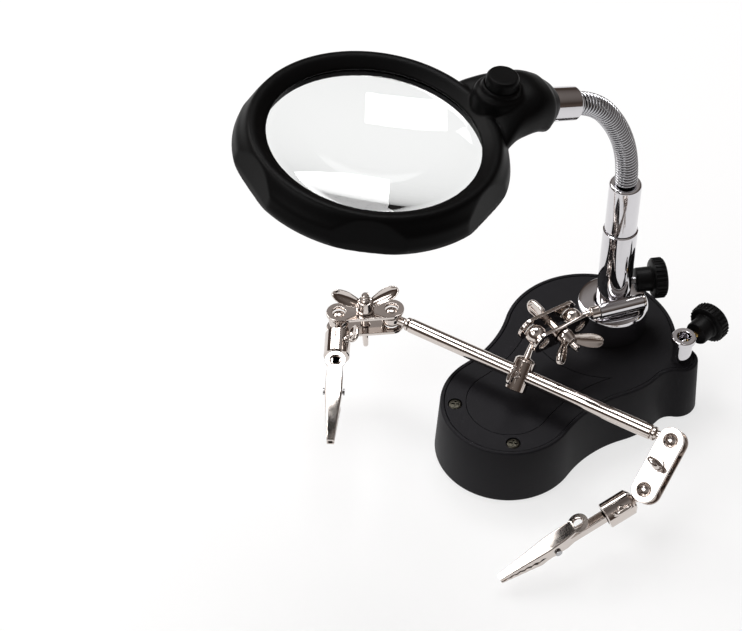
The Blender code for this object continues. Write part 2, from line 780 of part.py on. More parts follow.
# Soldering-iron socket on the ear
socket = Frame("iron_socket_seat", Matrix.Translation((EAR_X, EAR_Y, PLATE_TOP + SEAT_GAP)), base)
socket_screw_at = axes((0, 0, SOCKET_HEIGHT - SOCKET_SCREW_DROP), heading(SOCKET_SCREW_HEADING), UP)
cup = turned([
    (0.0, -SOCKET_SPIGOT_LENGTH),
    (SOCKET_SPIGOT_R, -SOCKET_SPIGOT_LENGTH),
    (SOCKET_SPIGOT_R, 0.0),
    (SOCKET_R, 0.0),
    (SOCKET_R, SOCKET_HEIGHT - SOCKET_RIM_LENGTH - 0.0008),
    (SOCKET_RIM_R, SOCKET_HEIGHT - SOCKET_RIM_LENGTH),
    (SOCKET_RIM_R, SOCKET_HEIGHT - 0.0004),
    (SOCKET_RIM_R - 0.0004, SOCKET_HEIGHT),
    (SOCKET_BORE_R + 0.0003, SOCKET_HEIGHT),
    (SOCKET_BORE_R, SOCKET_HEIGHT - 0.0003),
    (SOCKET_BORE_R, SOCKET_HEIGHT - SOCKET_BORE_DEPTH),
    (0.0, SOCKET_HEIGHT - SOCKET_BORE_DEPTH),
], ROUND)
cup = cut(cup, moved(cylinder(SOCKET_SCREW_R + RUN_GAP, SOCKET_BORE_R - 0.001, 0.008, ROUND_SMALL), socket_screw_at))
add("iron_socket", cup, socket, "chrome")

SOCKET_KNOB_START = SOCKET_R + SOCKET_KNOB_CLEAR
socket_lock_at = socket.at @ socket_screw_at
socket_lock_slide = Frame("socket_lock_slide", socket_lock_at, socket)
socket_lock_turn = Frame("socket_lock", socket_lock_at @ Matrix.Translation((0, 0, SOCKET_KNOB_START)),
                         socket_lock_slide)
add("socket_screw", lock_screw(SOCKET_SCREW_R, SOCKET_BORE_R + 0.0002, SOCKET_KNOB_START + SCREW_GRIP),
    socket_lock_slide, "brass")
add("socket_knob", knob(SOCKET_SCREW_R + SEAT_GAP), socket_lock_turn, "black")

# Gooseneck: ferrule in the post, wire helix around a core, ferrule at the head
FERRULE_LOW = POST_TOP + SEAT_GAP
FERRULE_TOP = FERRULE_LOW + FERRULE_LENGTH
neck_swivel = Frame("neck_swivel", post.at @ Matrix.Translation((0, 0, FERRULE_LOW)), post)
add("neck_ferrule", turned([
    (0.0, -FERRULE_STEM_LENGTH),
    (FERRULE_STEM_R - 0.0005, -FERRULE_STEM_LENGTH),
    (FERRULE_STEM_R, -FERRULE_STEM_LENGTH + 0.0005),
    (FERRULE_STEM_R, 0.0),
    (FERRULE_R, 0.0),
    (FERRULE_R, FERRULE_LENGTH - 0.0008),
    (FERRULE_R - 0.0008, FERRULE_LENGTH),
    (0.0, FERRULE_LENGTH),
], ROUND), neck_swivel, "chrome")

neck_at = axes((POST_X, POST_Y, FERRULE_TOP + SEAT_GAP), UP, heading(NECK_HEADING))
LOWER_ARC = NECK_LOWER_BEND_R * math.radians(NECK_LOWER_BEND)
UPPER_ARC = NECK_UPPER_BEND_R * math.radians(NECK_UPPER_BEND)
NECK_LENGTH = NECK_STRAIGHT + LOWER_ARC + UPPER_ARC
ACROSS = Vector((0, 1, 0))


def bent(point, lean, radius, length):
    """Point and lean after an arc of a length that bends towards +X."""
    turn = length / radius
    inward = Vector((math.cos(lean), 0, -math.sin(lean)))
    forward = Vector((math.sin(lean), 0, math.cos(lean)))
    point = point + inward * (radius * (1 - math.cos(turn))) + forward * (radius * math.sin(turn))
    return point, lean + turn


def neck_point(s):
    """Centre line of the neck at a length along it: point, direction, and the way it bends."""
    point = Vector((0, 0, min(s, NECK_STRAIGHT)))
    lean = 0.0
    if s > NECK_STRAIGHT:
        point, lean = bent(point, lean, NECK_LOWER_BEND_R, min(s - NECK_STRAIGHT, LOWER_ARC))
    if s > NECK_STRAIGHT + LOWER_ARC:
        point, lean = bent(point, lean, NECK_UPPER_BEND_R, s - NECK_STRAIGHT - LOWER_ARC)
    along = Vector((math.sin(lean), 0, math.cos(lean)))
    inward = Vector((math.cos(lean), 0, -math.sin(lean)))
    return point, along, inward


# The wire leaves each ferrule straight, then bends round into its curls
LEAD = 2 * NECK_WIRE_R
lead_steps = [(0.0, 0.0), (LEAD, 0.0), (LEAD + 0.0004, 5.0), (LEAD + 0.0007, 16.0), (LEAD + 0.0009, 34.0)]
start_s, start_turn = lead_steps[-1]
curl_length = NECK_LENGTH - 2 * start_s
curl_steps = round(curl_length / NECK_PITCH * CURL_POINTS)
turn_steps = list(lead_steps)
for k in range(1, curl_steps):
    turn_steps.append((start_s + curl_length * k / curl_steps, start_turn + 360.0 * k / CURL_POINTS))
whole_turn = 2 * start_turn + 360.0 * curl_steps / CURL_POINTS
for s, turn in reversed(lead_steps):
    turn_steps.append((NECK_LENGTH - s, whole_turn - turn))
wire = []
wire_guides = []
for s, turn in turn_steps:
    point, along, inward = neck_point(s)
    angle = math.radians(turn)
    out = inward * math.cos(angle) + ACROSS * math.sin(angle)
    wire.append(point + out * (NECK_R - NECK_WIRE_R))
    wire_guides.append(out)
print("gooseneck self-gap mm: %.3f" % (1000 * self_gap(wire, NECK_WIRE_R, 6)))
add("gooseneck", swept(wire, wire_guides, NECK_WIRE_R), neck_swivel, "chrome", neck_at)

NECK_CORE_R = NECK_R - 2 * NECK_WIRE_R - 0.0005
core_line = [neck_point(NECK_LENGTH * k / 14)[0] for k in range(15)]
core = swept(core_line, [ACROSS] * 15, NECK_CORE_R, 8)
add("gooseneck_core", core, neck_swivel, "black", neck_at)

# Head: ferrule, ring and handle, lens, switch and lamp
neck_end, neck_along, neck_inward = neck_point(NECK_LENGTH)
turn = neck_at.to_3x3()
ferrule_way = turn @ neck_along
ferrule_up = turn @ (-neck_inward)
tilt = math.radians(HEAD_TILT)
roll = math.radians(HEAD_ROLL)
head_way = ferrule_way * math.cos(tilt) - ferrule_up * math.sin(tilt)
head_up = ferrule_up * math.cos(tilt) + ferrule_way * math.sin(tilt)
head_up = head_up * math.cos(roll) + head_way.cross(UP).normalized() * math.sin(roll)
ferrule_at = axes(neck_at @ neck_end, ferrule_way, UP)
head_at = axes(neck_at @ neck_end + head_up * HEAD_RISE, head_up, head_way)
wire_middle = sum((neck_point(NECK_LENGTH * (k + 0.5) / 40)[0] for k in range(40)), Vector()) / 40
gooseneck_bend = Frame("gooseneck_bend", axes(neck_at @ wire_middle, -(turn @ ACROSS), UP), neck_swivel)

FERRULE_END = SEAT_GAP + HEAD_FERRULE_LENGTH
SPIGOT_END = FERRULE_END + HEAD_SPIGOT_LENGTH
add("head_ferrule", turned([
    (0.0, SEAT_GAP),
    (FERRULE_R - 0.0008, SEAT_GAP),
    (FERRULE_R, SEAT_GAP + 0.0008),
    (FERRULE_R, FERRULE_END),
    (HEAD_SPIGOT_R, FERRULE_END),
    (HEAD_SPIGOT_R, SPIGOT_END),
    (0.0, SPIGOT_END),
], ROUND), gooseneck_bend, "chrome", ferrule_at)

# In the head's frame Z is 0 at the edge of the ring's opening, and X runs from the neck to the lens
HANDLE_MEETS = FERRULE_END + SEAT_GAP
HANDLE_START = HANDLE_MEETS * math.cos(tilt)
HANDLE_START_Z = HANDLE_MEETS * math.sin(tilt) - HEAD_RISE
RING_R = LENS_R + RING_WALL
RING_NEAR = HANDLE_START + HANDLE_LENGTH
LENS_REACH = RING_NEAR + RING_R
RING_BORE_R = LENS_R + SEAT_GAP
RING_OPEN_R = LENS_R - RING_LIP
RING_CREST_R = LENS_R + RING_CREST_OUT
LENS_TOP = -RING_LIP_THICK - SEAT_GAP
LENS_LOW = LENS_TOP - LENS_EDGE
RING_COLUMNS = 60
scallop_spacing = 360.0 / SCALLOP_COUNT
scallop_slope = math.tan(math.radians(SCALLOP_LEAN))
RING_WIDEST = -0.66 * RING_DEPTH
ring_rows = []
for k in range(RING_COLUMNS):
    angle = 360.0 * k / RING_COLUMNS
    off = (angle + scallop_spacing / 2) % scallop_spacing - scallop_spacing / 2
    gripped = abs(angle - 180.0) > scallop_spacing / 2
    section = [
        (RING_BORE_R, -RING_DEPTH),
        (RING_BORE_R, -RING_LIP_THICK),
        (RING_OPEN_R, -RING_LIP_THICK),
        (RING_OPEN_R, 0.0),
        (RING_OPEN_R + 0.62 * (RING_CREST_R - RING_OPEN_R), 0.84 * RING_CREST_RISE),
        (RING_CREST_R, RING_CREST_RISE),
        (RING_CREST_R + 0.26 * (RING_R - RING_CREST_R), 0.74 * RING_CREST_RISE),
        (RING_CREST_R + 0.58 * (RING_R - RING_CREST_R), -0.08 * RING_DEPTH),
        (RING_CREST_R + 0.80 * (RING_R - RING_CREST_R), -0.25 * RING_DEPTH),
        (RING_R - 0.0006, -0.42 * RING_DEPTH),
        (RING_R, RING_WIDEST),
        (RING_R - 0.30 * RING_FOOT_IN, -0.88 * RING_DEPTH),
        (RING_R - RING_FOOT_IN, -RING_DEPTH),
    ]
    if gripped:
        # A thumb grip is a flat that leans in towards the lens
        for n in range(5, len(section)):
            r, z = section[n]
            flat = RING_R - SCALLOP_DEPTH - scallop_slope * max(0.0, z - RING_WIDEST)
            section[n] = (min(r, flat / math.cos(math.radians(off))), z)
    c, s = math.cos(math.radians(angle)), math.sin(math.radians(angle))
    ring_rows.append([(LENS_REACH + r * c, r * s, z) for r, z in section])
ring = loft(ring_rows, hoop=True)


def between(low, high, share):
    return low + (high - low) * share


# Each section of the handle: place, height, half width, half height, and how far it leans with the ferrule
handle_sections = [
    (HANDLE_START, HANDLE_START_Z, HANDLE_END_R, HANDLE_END_R, tilt),
    (HANDLE_START + 0.06 * HANDLE_LENGTH, between(HANDLE_START_Z, -HANDLE_SINK, 0.15),
     0.68 * HANDLE_HALF_WIDTH, 0.86 * HANDLE_HALF_HEIGHT, tilt),
    (HANDLE_START + 0.21 * HANDLE_LENGTH, between(HANDLE_START_Z, -HANDLE_SINK, 0.50),
     0.88 * HANDLE_HALF_WIDTH, 0.98 * HANDLE_HALF_HEIGHT, 0.5 * tilt),
    (HANDLE_START + 0.45 * HANDLE_LENGTH, -HANDLE_SINK, HANDLE_HALF_WIDTH, HANDLE_HALF_HEIGHT, 0.0),
    (HANDLE_START + 0.72 * HANDLE_LENGTH, -0.5 * HANDLE_SINK,
     1.12 * HANDLE_HALF_WIDTH, 0.93 * HANDLE_HALF_HEIGHT, 0.0),
    (RING_NEAR - 0.06 * HANDLE_LENGTH, -HANDLE_SINK,
     1.24 * HANDLE_HALF_WIDTH, 0.88 * HANDLE_HALF_HEIGHT, 0.0),
    (RING_NEAR + 0.45 * RING_WALL, between(-HANDLE_SINK, -HANDLE_ROOT_SINK, 0.55),
     0.94 * HANDLE_ROOT_HALF_WIDTH, 0.71 * HANDLE_HALF_HEIGHT, 0.0),
    (RING_NEAR + 0.78 * RING_WALL, -HANDLE_ROOT_SINK, HANDLE_ROOT_HALF_WIDTH, 0.56 * HANDLE_HALF_HEIGHT, 0.0),
]
handle_rows = []
for x, z, half_width, half_height, lean in handle_sections:
    row = []
    for k in range(24):
        angle = 2 * math.pi * k / 24
        c, s = math.cos(angle), math.sin(angle)
        across = half_width * math.copysign(abs(c) ** 0.8, c)
        rise = half_height * math.copysign(abs(s) ** 0.8, s)
        row.append((x - rise * math.sin(lean), across, z + rise * math.cos(lean)))
    handle_rows.append(row)
BUTTON_X = RING_NEAR - BUTTON_FROM_RING
BUTTON_LOW = BUTTON_BOSS_TOP + BUTTON_PROUD - BUTTON_HEIGHT
POCKET_LOW = BUTTON_LOW - BUTTON_TRAVEL - SWITCH_HEIGHT - 2 * SEAT_GAP
LED_X = RING_NEAR + LED_INTO_RING
LED_TOP = LED_DEPTH - RING_DEPTH
boss = turned([
    (0.0, 0.0),
    (BUTTON_BOSS_R + 0.0018, 0.0),
    (BUTTON_BOSS_R + 0.0010, 0.66 * BUTTON_BOSS_TOP),
    (BUTTON_BOSS_R, BUTTON_BOSS_TOP - 0.0008),
    (BUTTON_BOSS_R - 0.0008, BUTTON_BOSS_TOP),
    (0.0, BUTTON_BOSS_TOP),
], ROUND)
pocket = cylinder(BUTTON_R + RUN_GAP, POCKET_LOW, BUTTON_BOSS_TOP + 0.004, ROUND)
lamp_hole = cylinder(LED_R + SEAT_GAP, -RING_DEPTH - 0.006, LED_TOP + SEAT_GAP, ROUND_SMALL)
spigot_hole = cylinder(HEAD_SPIGOT_R + SEAT_GAP, FERRULE_END - 0.004, SPIGOT_END + SEAT_GAP, ROUND)
head = join(ring, loft(handle_rows), shifted(boss, x=BUTTON_X))
head = cut(head, shifted(pocket, x=BUTTON_X), moved(spigot_hole, head_at.inverted() @ ferrule_at),
           shifted(lamp_hole, x=LED_X))
add("head_frame", head, gooseneck_bend, "black", head_at)

dome = []
for k in range(4):
    part = k / 4
    dome.append(((RING_OPEN_R - 0.0005) * (1 - part), LENS_CROWN * (1 - (1 - part) ** 2)))
lens_profile = [(0.0, LENS_LOW - LENS_CROWN)]
lens_profile += [(r, LENS_LOW - rise) for r, rise in reversed(dome)]
lens_profile += [(LENS_R, LENS_LOW), (LENS_R, LENS_TOP)]
lens_profile += [(r, LENS_TOP + rise) for r, rise in dome]
lens_profile.append((0.0, LENS_TOP + LENS_CROWN))
lens_at = head_at @ Matrix.Translation((LENS_REACH, 0, 0))
add("lens", turned(lens_profile, ROUND_LENS), gooseneck_bend, "clear", lens_at)
RETAINER_TOP = LENS_LOW - SEAT_GAP
add("lens_retainer", turned([
    (LENS_R - RETAINER_WALL, RETAINER_TOP - RETAINER_THICK),
    (LENS_R, RETAINER_TOP - RETAINER_THICK),
    (LENS_R, RETAINER_TOP),
    (LENS_R - RETAINER_WALL, RETAINER_TOP),
], ROUND_LENS), gooseneck_bend, "black", lens_at)

button_at = head_at @ Matrix.Translation((BUTTON_X, 0, BUTTON_LOW))
switch_press = Frame("switch_press", button_at, gooseneck_bend)
add("switch_button", turned([
    (0.0, 0.0),
    (BUTTON_R, 0.0),
    (BUTTON_R, BUTTON_HEIGHT - 0.0010),
    (BUTTON_R - 0.0008, BUTTON_HEIGHT - 0.0002),
    (BUTTON_R - 0.0020, BUTTON_HEIGHT),
    (0.0, BUTTON_HEIGHT - 0.0006),
], ROUND), switch_press, "black")
add("switch_body", cylinder(SWITCH_R, POCKET_LOW + SEAT_GAP, POCKET_LOW + SEAT_GAP + SWITCH_HEIGHT, ROUND_SMALL),
    gooseneck_bend, "steel", head_at @ Matrix.Translation((BUTTON_X, 0, 0)))
add("led_lamp", turned([
    (0.0, LED_TOP - LED_LENGTH),
    (LED_R * 0.55, LED_TOP - LED_LENGTH + 0.0004),
    (LED_R, LED_TOP - LED_LENGTH + 0.0018),
    (LED_R, LED_TOP),
    (0.0, LED_TOP),
], ROUND_SMALL), gooseneck_bend, "clear", head_at @ Matrix.Translation((LED_X, 0, 0)))

# Double-ball clamp pieces, in the clamp's own frame: X from the first ball to the second, Z across the plates
PLATE_OUT = PLATE_HALF_GAP + PLATE_THICK
SCREW_HOLE_R = CLAMP_SCREW_R + RUN_GAP
BALL_HOLE_R = 0.0030


def clamp_plate(z0):
    half = BALL_SPACING / 2
    body = prism(stadium(-half, half, PLATE_END_R), z0, z0 + PLATE_THICK)
    for x, radius in ((-half, BALL_HOLE_R), (0.0, SCREW_HOLE_R), (half, BALL_HOLE_R)):
        body = cut(body, shifted(cylinder(radius, z0 - 0.001, z0 + PLATE_THICK + 0.001, ROUND_SMALL), x=x))
    return body


NUT_LOW = PLATE_OUT + SEAT_GAP
NUT_HIGH = NUT_LOW + NUT_HUB_LENGTH


def clamp_screw():
    """Shank through both plates, with a collar and a flat finger tab below."""
    collar_top = -PLATE_OUT - SEAT_GAP
    collar_low = collar_top - CLAMP_COLLAR_LENGTH
    shank = turned([
        (0.0, collar_low),
        (CLAMP_COLLAR_R, collar_low),
        (CLAMP_COLLAR_R, collar_top),
        (CLAMP_SCREW_R, collar_top),
        (CLAMP_SCREW_R, NUT_HIGH + CLAMP_SCREW_TAIL - 0.0004),
        (CLAMP_SCREW_R - 0.0004, NUT_HIGH + CLAMP_SCREW_TAIL),
        (0.0, NUT_HIGH + CLAMP_SCREW_TAIL),
    ], ROUND_SMALL)
    half = SPADE_THICK / 2
    outline = stadium(-SPADE_LENGTH + SPADE_HALF_WIDTH, 0.0, SPADE_HALF_WIDTH, 6)
    spade = moved(prism(outline, -half, half), axes((0, 0, 0), (1, 0, 0), (0, 0, 1)))
    return join(shank, shifted(spade, z=collar_low - 0.8 * SPADE_HALF_WIDTH))


# Outline of a wing from root to tip: share of its length, share of its half width
WING_SHAPE = ((0.0, 0.55), (0.22, 0.78), (0.52, 1.0), (0.80, 0.92), (0.95, 0.58), (1.0, 0.30))


def wing(way):
    """Spoon-shaped wing that leaves the hub along +X or -X and turns its hollow face up."""
    rise = math.radians(WING_RISE)
    lean = math.radians(WING_TURN)
    root = Vector((0.0026, 0, NUT_LOW + WING_HALF_WIDTH + 0.0004))
    along = Vector((math.cos(rise), 0, math.sin(rise)))
    upright = Vector((-math.sin(rise), 0, math.cos(rise)))
    width = Vector((0, math.cos(lean), 0)) + upright * math.sin(lean)
    face = along.cross(width)
    rings = []
    for share, half in WING_SHAPE:
        middle = root + along * (WING_REACH + WING_HALF_WIDTH) * share
        across = width * WING_HALF_WIDTH * half
        dish = face * WING_SCOOP * half
        under = face * WING_THICK / 2
        rings.append([middle - across + dish + under, middle - dish + under, middle + across + dish + under,
                      middle + across + dish - under, middle - dish - under, middle - across + dish - under])
    return moved(loft(rings), Matrix.Rotation(0.0 if way > 0 else math.pi, 4, "Z"))


def wing_nut():
    hub = turned([
        (0.0, NUT_LOW),
        (NUT_HUB_R, NUT_LOW),
        (NUT_HUB_R, NUT_LOW + 0.0016),
        (0.78 * NUT_HUB_R, NUT_HIGH),
        (0.0, NUT_HIGH),
    ], ROUND_ARM)
    hub = join(hub, wing(1), wing(-1))
    return cut(hub, cylinder(SCREW_HOLE_R, NUT_LOW - 0.005, NUT_HIGH + 0.02, ROUND_SMALL))


def add_clamp(word, frame, nut_side=1, finish="nickel"):
    """Two plates, their screw and the wing nut that turns on it, above the plates or (-1) below them."""
    at = frame.at @ Matrix.Translation((BALL_SPACING / 2, 0, 0))
    add(word + "_plate_upper", clamp_plate(PLATE_HALF_GAP), frame, finish, at)
    add(word + "_plate_lower", clamp_plate(-PLATE_OUT), frame, finish, at)
    screw_at = at @ Matrix.Rotation(0.0 if nut_side > 0 else math.pi, 4, "X")
    add(word + "_clamp_screw", clamp_screw(), frame, finish, screw_at)
    turn = Frame(word + "_wing_nut_turn", screw_at, frame)
    add(word + "_wing_nut", wing_nut(), turn, finish)


def thumbscrew(tip, reach):
    """Shank from its tip out to a flat two-lobed tab."""
    shank = turned([
        (0.0, tip),
        (THUMB_R * 0.7, tip),
        (THUMB_R, tip + 0.0005),
        (THUMB_R, reach + 0.001),
        (0.0, reach + 0.001),
    ], ROUND_SMALL)
    spread = THUMB_TAB_HALF_WIDTH - THUMB_TAB_HALF_HEIGHT
    outline = stadium(-spread, spread, THUMB_TAB_HALF_HEIGHT, 6)
    pinched = [(x, y * (1 - 0.35 * max(0.0, 1 - abs(x) / spread))) for x, y in outline]
    half = THUMB_TAB_THICK / 2
    tab = moved(prism(pinched, -half, half), axes((0, 0, reach + 0.75 * THUMB_TAB_HALF_HEIGHT), (0, 1, 0), (1, 0, 0)))
    return join(shank, tab)


# Arm stub in the barrel, and the centre clamp
stub_origin = post.at @ (barrel_middle - barrel_way * BARREL_FRONT)
stub_spin = Frame("stub_spin", axes(stub_origin, -barrel_way, UP), post)
BARREL_LENGTH = BARREL_FRONT + BARREL_REAR
STUB_SHAFT_R = BARREL_BORE_R - RUN_GAP
STUB_COLLAR_R = BARREL_R - 0.0004
stub_profile = [
    (0.0, -BARREL_LENGTH - RUN_GAP - 0.0012),
    (STUB_COLLAR_R, -BARREL_LENGTH - RUN_GAP - 0.0012),
    (STUB_COLLAR_R, -BARREL_LENGTH - RUN_GAP),
    (STUB_SHAFT_R, -BARREL_LENGTH - RUN_GAP),
    (STUB_SHAFT_R, RUN_GAP),
    (STUB_COLLAR_R, RUN_GAP),
    (STUB_COLLAR_R, STUB_COLLAR_LENGTH),
    (NECK_ROOT_R, STUB_COLLAR_LENGTH + 0.0006),
]
stub_profile += ball_end(BENT_NECK_R, STUB_REACH)
add("arm_stub", turned(stub_profile, ROUND_ARM), stub_spin, "nickel")

ball_a = stub_origin - barrel_way * STUB_REACH
centre_way = heading(CENTRE_HEADING, CENTRE_PITCH)
level = -centre_way.cross(UP).normalized()
roll = math.radians(CENTRE_ROLL)
centre_normal = level * math.cos(roll) - centre_way.cross(level) * math.sin(roll)
centre_swing_a = Frame("centre_swing_a", axes(ball_a, centre_normal, centre_way), stub_spin)
add_clamp("centre", centre_swing_a)

# Rod holder on the second ball of the centre clamp
ball_b = ball_a + centre_way * BALL_SPACING
rod_way = heading(ROD_HEADING)
rod_across = heading(ROD_HEADING + 90)
tilt = math.radians(ROD_HOLDER_TILT)
holder_way = -(UP * math.cos(tilt) + rod_across * math.sin(tilt))
centre_swing_b = Frame("centre_swing_b", axes(ball_b, centre_normal, centre_way), centre_swing_a)
rod_holder_at = axes(ball_b, holder_way, rod_way)
HOLDER_NEAR = ROD_HOLDER_REACH - ROD_HOLDER_LENGTH / 2
HOLDER_FAR = ROD_HOLDER_REACH + ROD_HOLDER_LENGTH / 2
rod_holder = turned(ball_start(BENT_NECK_R) + [
    (NECK_ROOT_R, HOLDER_NEAR - 0.0006),
    (ROD_HOLDER_R - 0.0010, HOLDER_NEAR),
    (ROD_HOLDER_R, HOLDER_NEAR + 0.0010),
    (ROD_HOLDER_R, HOLDER_FAR - 0.0006),
    (ROD_HOLDER_R - 0.0006, HOLDER_FAR),
    (0.0, HOLDER_FAR),
], ROUND_ARM)
crossing = axes((0, 0, ROD_HOLDER_REACH), (1, 0, 0), (0, 0, 1))
screw_side = axes((0, 0, ROD_HOLDER_REACH), (0, 1, 0), (0, 0, 1))
rod_holder = cut(rod_holder, moved(cylinder(ROD_R + RUN_GAP, -0.01, 0.01, ROUND_ARM), crossing),
                 moved(cylinder(THUMB_R + RUN_GAP, 0.001, 0.01, ROUND_SMALL), screw_side))
add("rod_holder", rod_holder, centre_swing_b, "nickel", rod_holder_at)

rod_middle = ball_b + holder_way * ROD_HOLDER_REACH
screw_way = holder_way.cross(rod_way)
rod_thumb = Frame("rod_thumbscrew_turn", axes(rod_middle, screw_way, holder_way), centre_swing_b)
add("rod_thumbscrew", thumbscrew(ROD_R + SEAT_GAP, ROD_R + SEAT_GAP + THUMB_SHANK), rod_thumb, "nickel")

# Cross rod
rod_slide = Frame("rod_slide", axes(rod_middle, rod_way, UP), centre_swing_b)
ROD_LOW = ROD_BALL_REACH - ROD_LEFT
ROD_HIGH = ROD_RIGHT - ROD_BALL_REACH
STUD_BORE_R = ROD_SPIGOT_R + RUN_GAP
STUD_BORE_DEPTH = ROD_SPIGOT_LENGTH + SEAT_GAP
add("cross_rod", turned([
    (0.0, ROD_LOW + STUD_BORE_DEPTH),
    (STUD_BORE_R, ROD_LOW + STUD_BORE_DEPTH),
    (STUD_BORE_R, ROD_LOW),
    (ROD_R - 0.0004, ROD_LOW),
    (ROD_R, ROD_LOW + 0.0004),
    (ROD_R, ROD_HIGH - 0.0004),
    (ROD_R - 0.0004, ROD_HIGH),
    (STUD_BORE_R, ROD_HIGH),
    (STUD_BORE_R, ROD_HIGH - STUD_BORE_DEPTH),
    (0.0, ROD_HIGH - STUD_BORE_DEPTH),
], ROUND_ARM), rod_slide, "nickel")

# Clip jaws, in the clip's frame: X towards the tip, Y along the pivot pin


def channel(stations, upward):
    """Folded sheet from (x, half width, web height, edge height) stations, open up or down."""
    rings = []
    inner = JAW_SHEET if upward else -JAW_SHEET
    for x, w, web, edge in stations:
        thin = w - JAW_SHEET
        rings.append([
            (x, -w, edge), (x, -w, web), (x, w, web), (x, w, edge),
            (x, thin, edge), (x, thin, web + inner), (x, -thin, web + inner), (x, -thin, edge),
        ])
    return loft(rings)


def toothed(start, start_web, start_edge, tip_web, tip_edge, start_half):
    """Stations of a jaw's front, whose edges rise and fall as teeth."""
    stations = []
    steps = 2 * round(TOOTH_COUNT)
    for k in range(steps + 1):
        part = k / steps
        x = start + (JAW_LENGTH - start) * part
        w = start_half + (JAW_TIP_HALF_WIDTH - start_half) * part
        web = start_web + (tip_web - start_web) * part
        edge = start_edge + (tip_edge - start_edge) * part
        fade = 1.0 - 0.5 * part
        if k % 2 == 1:
            edge += TOOTH_DEPTH * fade * (1 if web > 0 else -1)
        stations.append((x, w, web, edge))
    return stations


PAD_SLOPE = math.atan2(PAD_RISE - JAW_HEIGHT, PAD_REACH)
BITE = 0.00025


def pad_line(x):
    """Height of the moving jaw's top behind the pivot."""
    return JAW_HEIGHT - x * math.tan(PAD_SLOPE)


def moving_jaw():
    w = JAW_HALF_WIDTH
    neck = -PAD_REACH + 0.6 * PAD_R
    stations = [
        (neck, 0.62 * w, pad_line(neck), pad_line(neck) - 1.5 * JAW_SHEET),
        (-0.0080, 0.74 * w, pad_line(-0.0080), pad_line(-0.0080) - 2.2 * JAW_SHEET),
        (-0.0045, w, pad_line(-0.0045), 0.0014),
        (-0.0022, w, pad_line(-0.0022), -0.0012),
        (0.0000, w, pad_line(0.0), -0.0021),
        (0.0024, w, JAW_HEIGHT - 0.0001, -0.0014),
    ]
    stations += toothed(0.0052, JAW_HEIGHT - 0.0002, BITE, JAW_TIP_HEIGHT, BITE, w - 0.0002)
    body = channel(stations, upward=False)
    pad = cut(turned([
        (0.0, -JAW_SHEET),
        (PAD_R, -JAW_SHEET),
        (PAD_R, 0.0),
        (PAD_HOLE_R + PAD_ROLL, 0.0),
        (PAD_HOLE_R + 0.5 * PAD_ROLL, 0.5 * PAD_ROLL),
        (0.0, 0.5 * PAD_ROLL),
    ], ROUND_ARM), cylinder(PAD_HOLE_R, -0.002, 0.001, ROUND_SMALL))
    tilted = axes((-PAD_REACH, 0, pad_line(-PAD_REACH)), (math.sin(PAD_SLOPE), 0, math.cos(PAD_SLOPE)), (1, 0, 0))
    body = join(body, shifted(moved(pad, tilted), z=-0.00012))
    return cut(body, moved(cylinder(PIN_R + RUN_GAP, -0.01, 0.01, ROUND_SMALL), axes((0, 0, 0), (0, 1, 0), UP)))


FIXED_HALF = JAW_HALF_WIDTH - JAW_SHEET - 0.0004


def fixed_jaw(tail):
    half = CLIP_TAIL_HALF
    low = -CLIP_DROP - half
    high = -CLIP_DROP + half
    stations = [
        (-tail, half, low, high),
        (-0.0085, half, low, high),
        (-0.0045, FIXED_HALF, -JAW_HEIGHT, 0.0014),
        (0.0000, FIXED_HALF, -JAW_HEIGHT, 0.0020),
        (0.0026, FIXED_HALF, -JAW_HEIGHT, 0.0008),
        (0.0052, FIXED_HALF + 0.0002, -JAW_HEIGHT + 0.0001, -BITE - 0.0006),
    ]
    stations += toothed(0.0082, -JAW_HEIGHT + 0.0002, -BITE, -JAW_TIP_HEIGHT, -BITE, JAW_HALF_WIDTH - 0.0004)
    body = channel(stations, upward=True)
    return cut(body, moved(cylinder(PIN_R + RUN_GAP, -0.01, 0.01, ROUND_SMALL), axes((0, 0, 0), (0, 1, 0), UP)))


def pivot_pin():
    head = JAW_HALF_WIDTH + SEAT_GAP
    end = head + PIN_HEAD_LENGTH
    pin = turned([
        (0.0, -end),
        (PIN_HEAD_R, -end),
        (PIN_HEAD_R, -head),
        (PIN_R, -head),
        (PIN_R, head),
        (PIN_HEAD_R, head),
        (PIN_HEAD_R, end),
        (0.0, end),
    ], ROUND_SMALL)
    return moved(pin, axes((0, 0, 0), (0, 1, 0), UP))


def clip_spring():
    """Curls round the pin; one leg bears on the fixed jaw's floor and one under the moving jaw's top."""
    floor = -JAW_HEIGHT + JAW_SHEET + SEAT_GAP
    points = [Vector((-0.0036, 0, floor)), Vector((-0.0036, 0, floor + 2 * SPRING_WIRE_R)),
              Vector((-0.0032, 0, -SPRING_R - 0.0001)), Vector((-0.0027, 0, -SPRING_R))]
    half_turns = 2 * round(SPRING_CURLS) + 1
    steps = 4 * half_turns
    for k in range(steps + 1):
        angle = -math.pi / 2 + math.pi * half_turns * k / steps
        points.append(Vector((SPRING_R * math.cos(angle), SPRING_PITCH * half_turns / 2 * k / steps,
                              SPRING_R * math.sin(angle))))
    last = points[-1].y
    square = Vector((math.sin(PAD_SLOPE), 0, math.cos(PAD_SLOPE)))
    x = -0.0042
    meet = Vector((x, last, pad_line(x))) - square * (JAW_SHEET + SEAT_GAP)
    points += [Vector((-0.0030, last, SPRING_R + 0.0001)), meet - square * 0.0011 - Vector((0.0001, 0, 0)),
               meet - square * 2 * SPRING_WIRE_R, meet]
    points = [point - Vector((0, last / 2, 0)) for point in points]
    print("clip spring self-gap mm: %.3f" % (1000 * self_gap(points, SPRING_WIRE_R, 6)))
    return swept(points, [Vector((0, 1, 0))] * len(points), SPRING_WIRE_R)


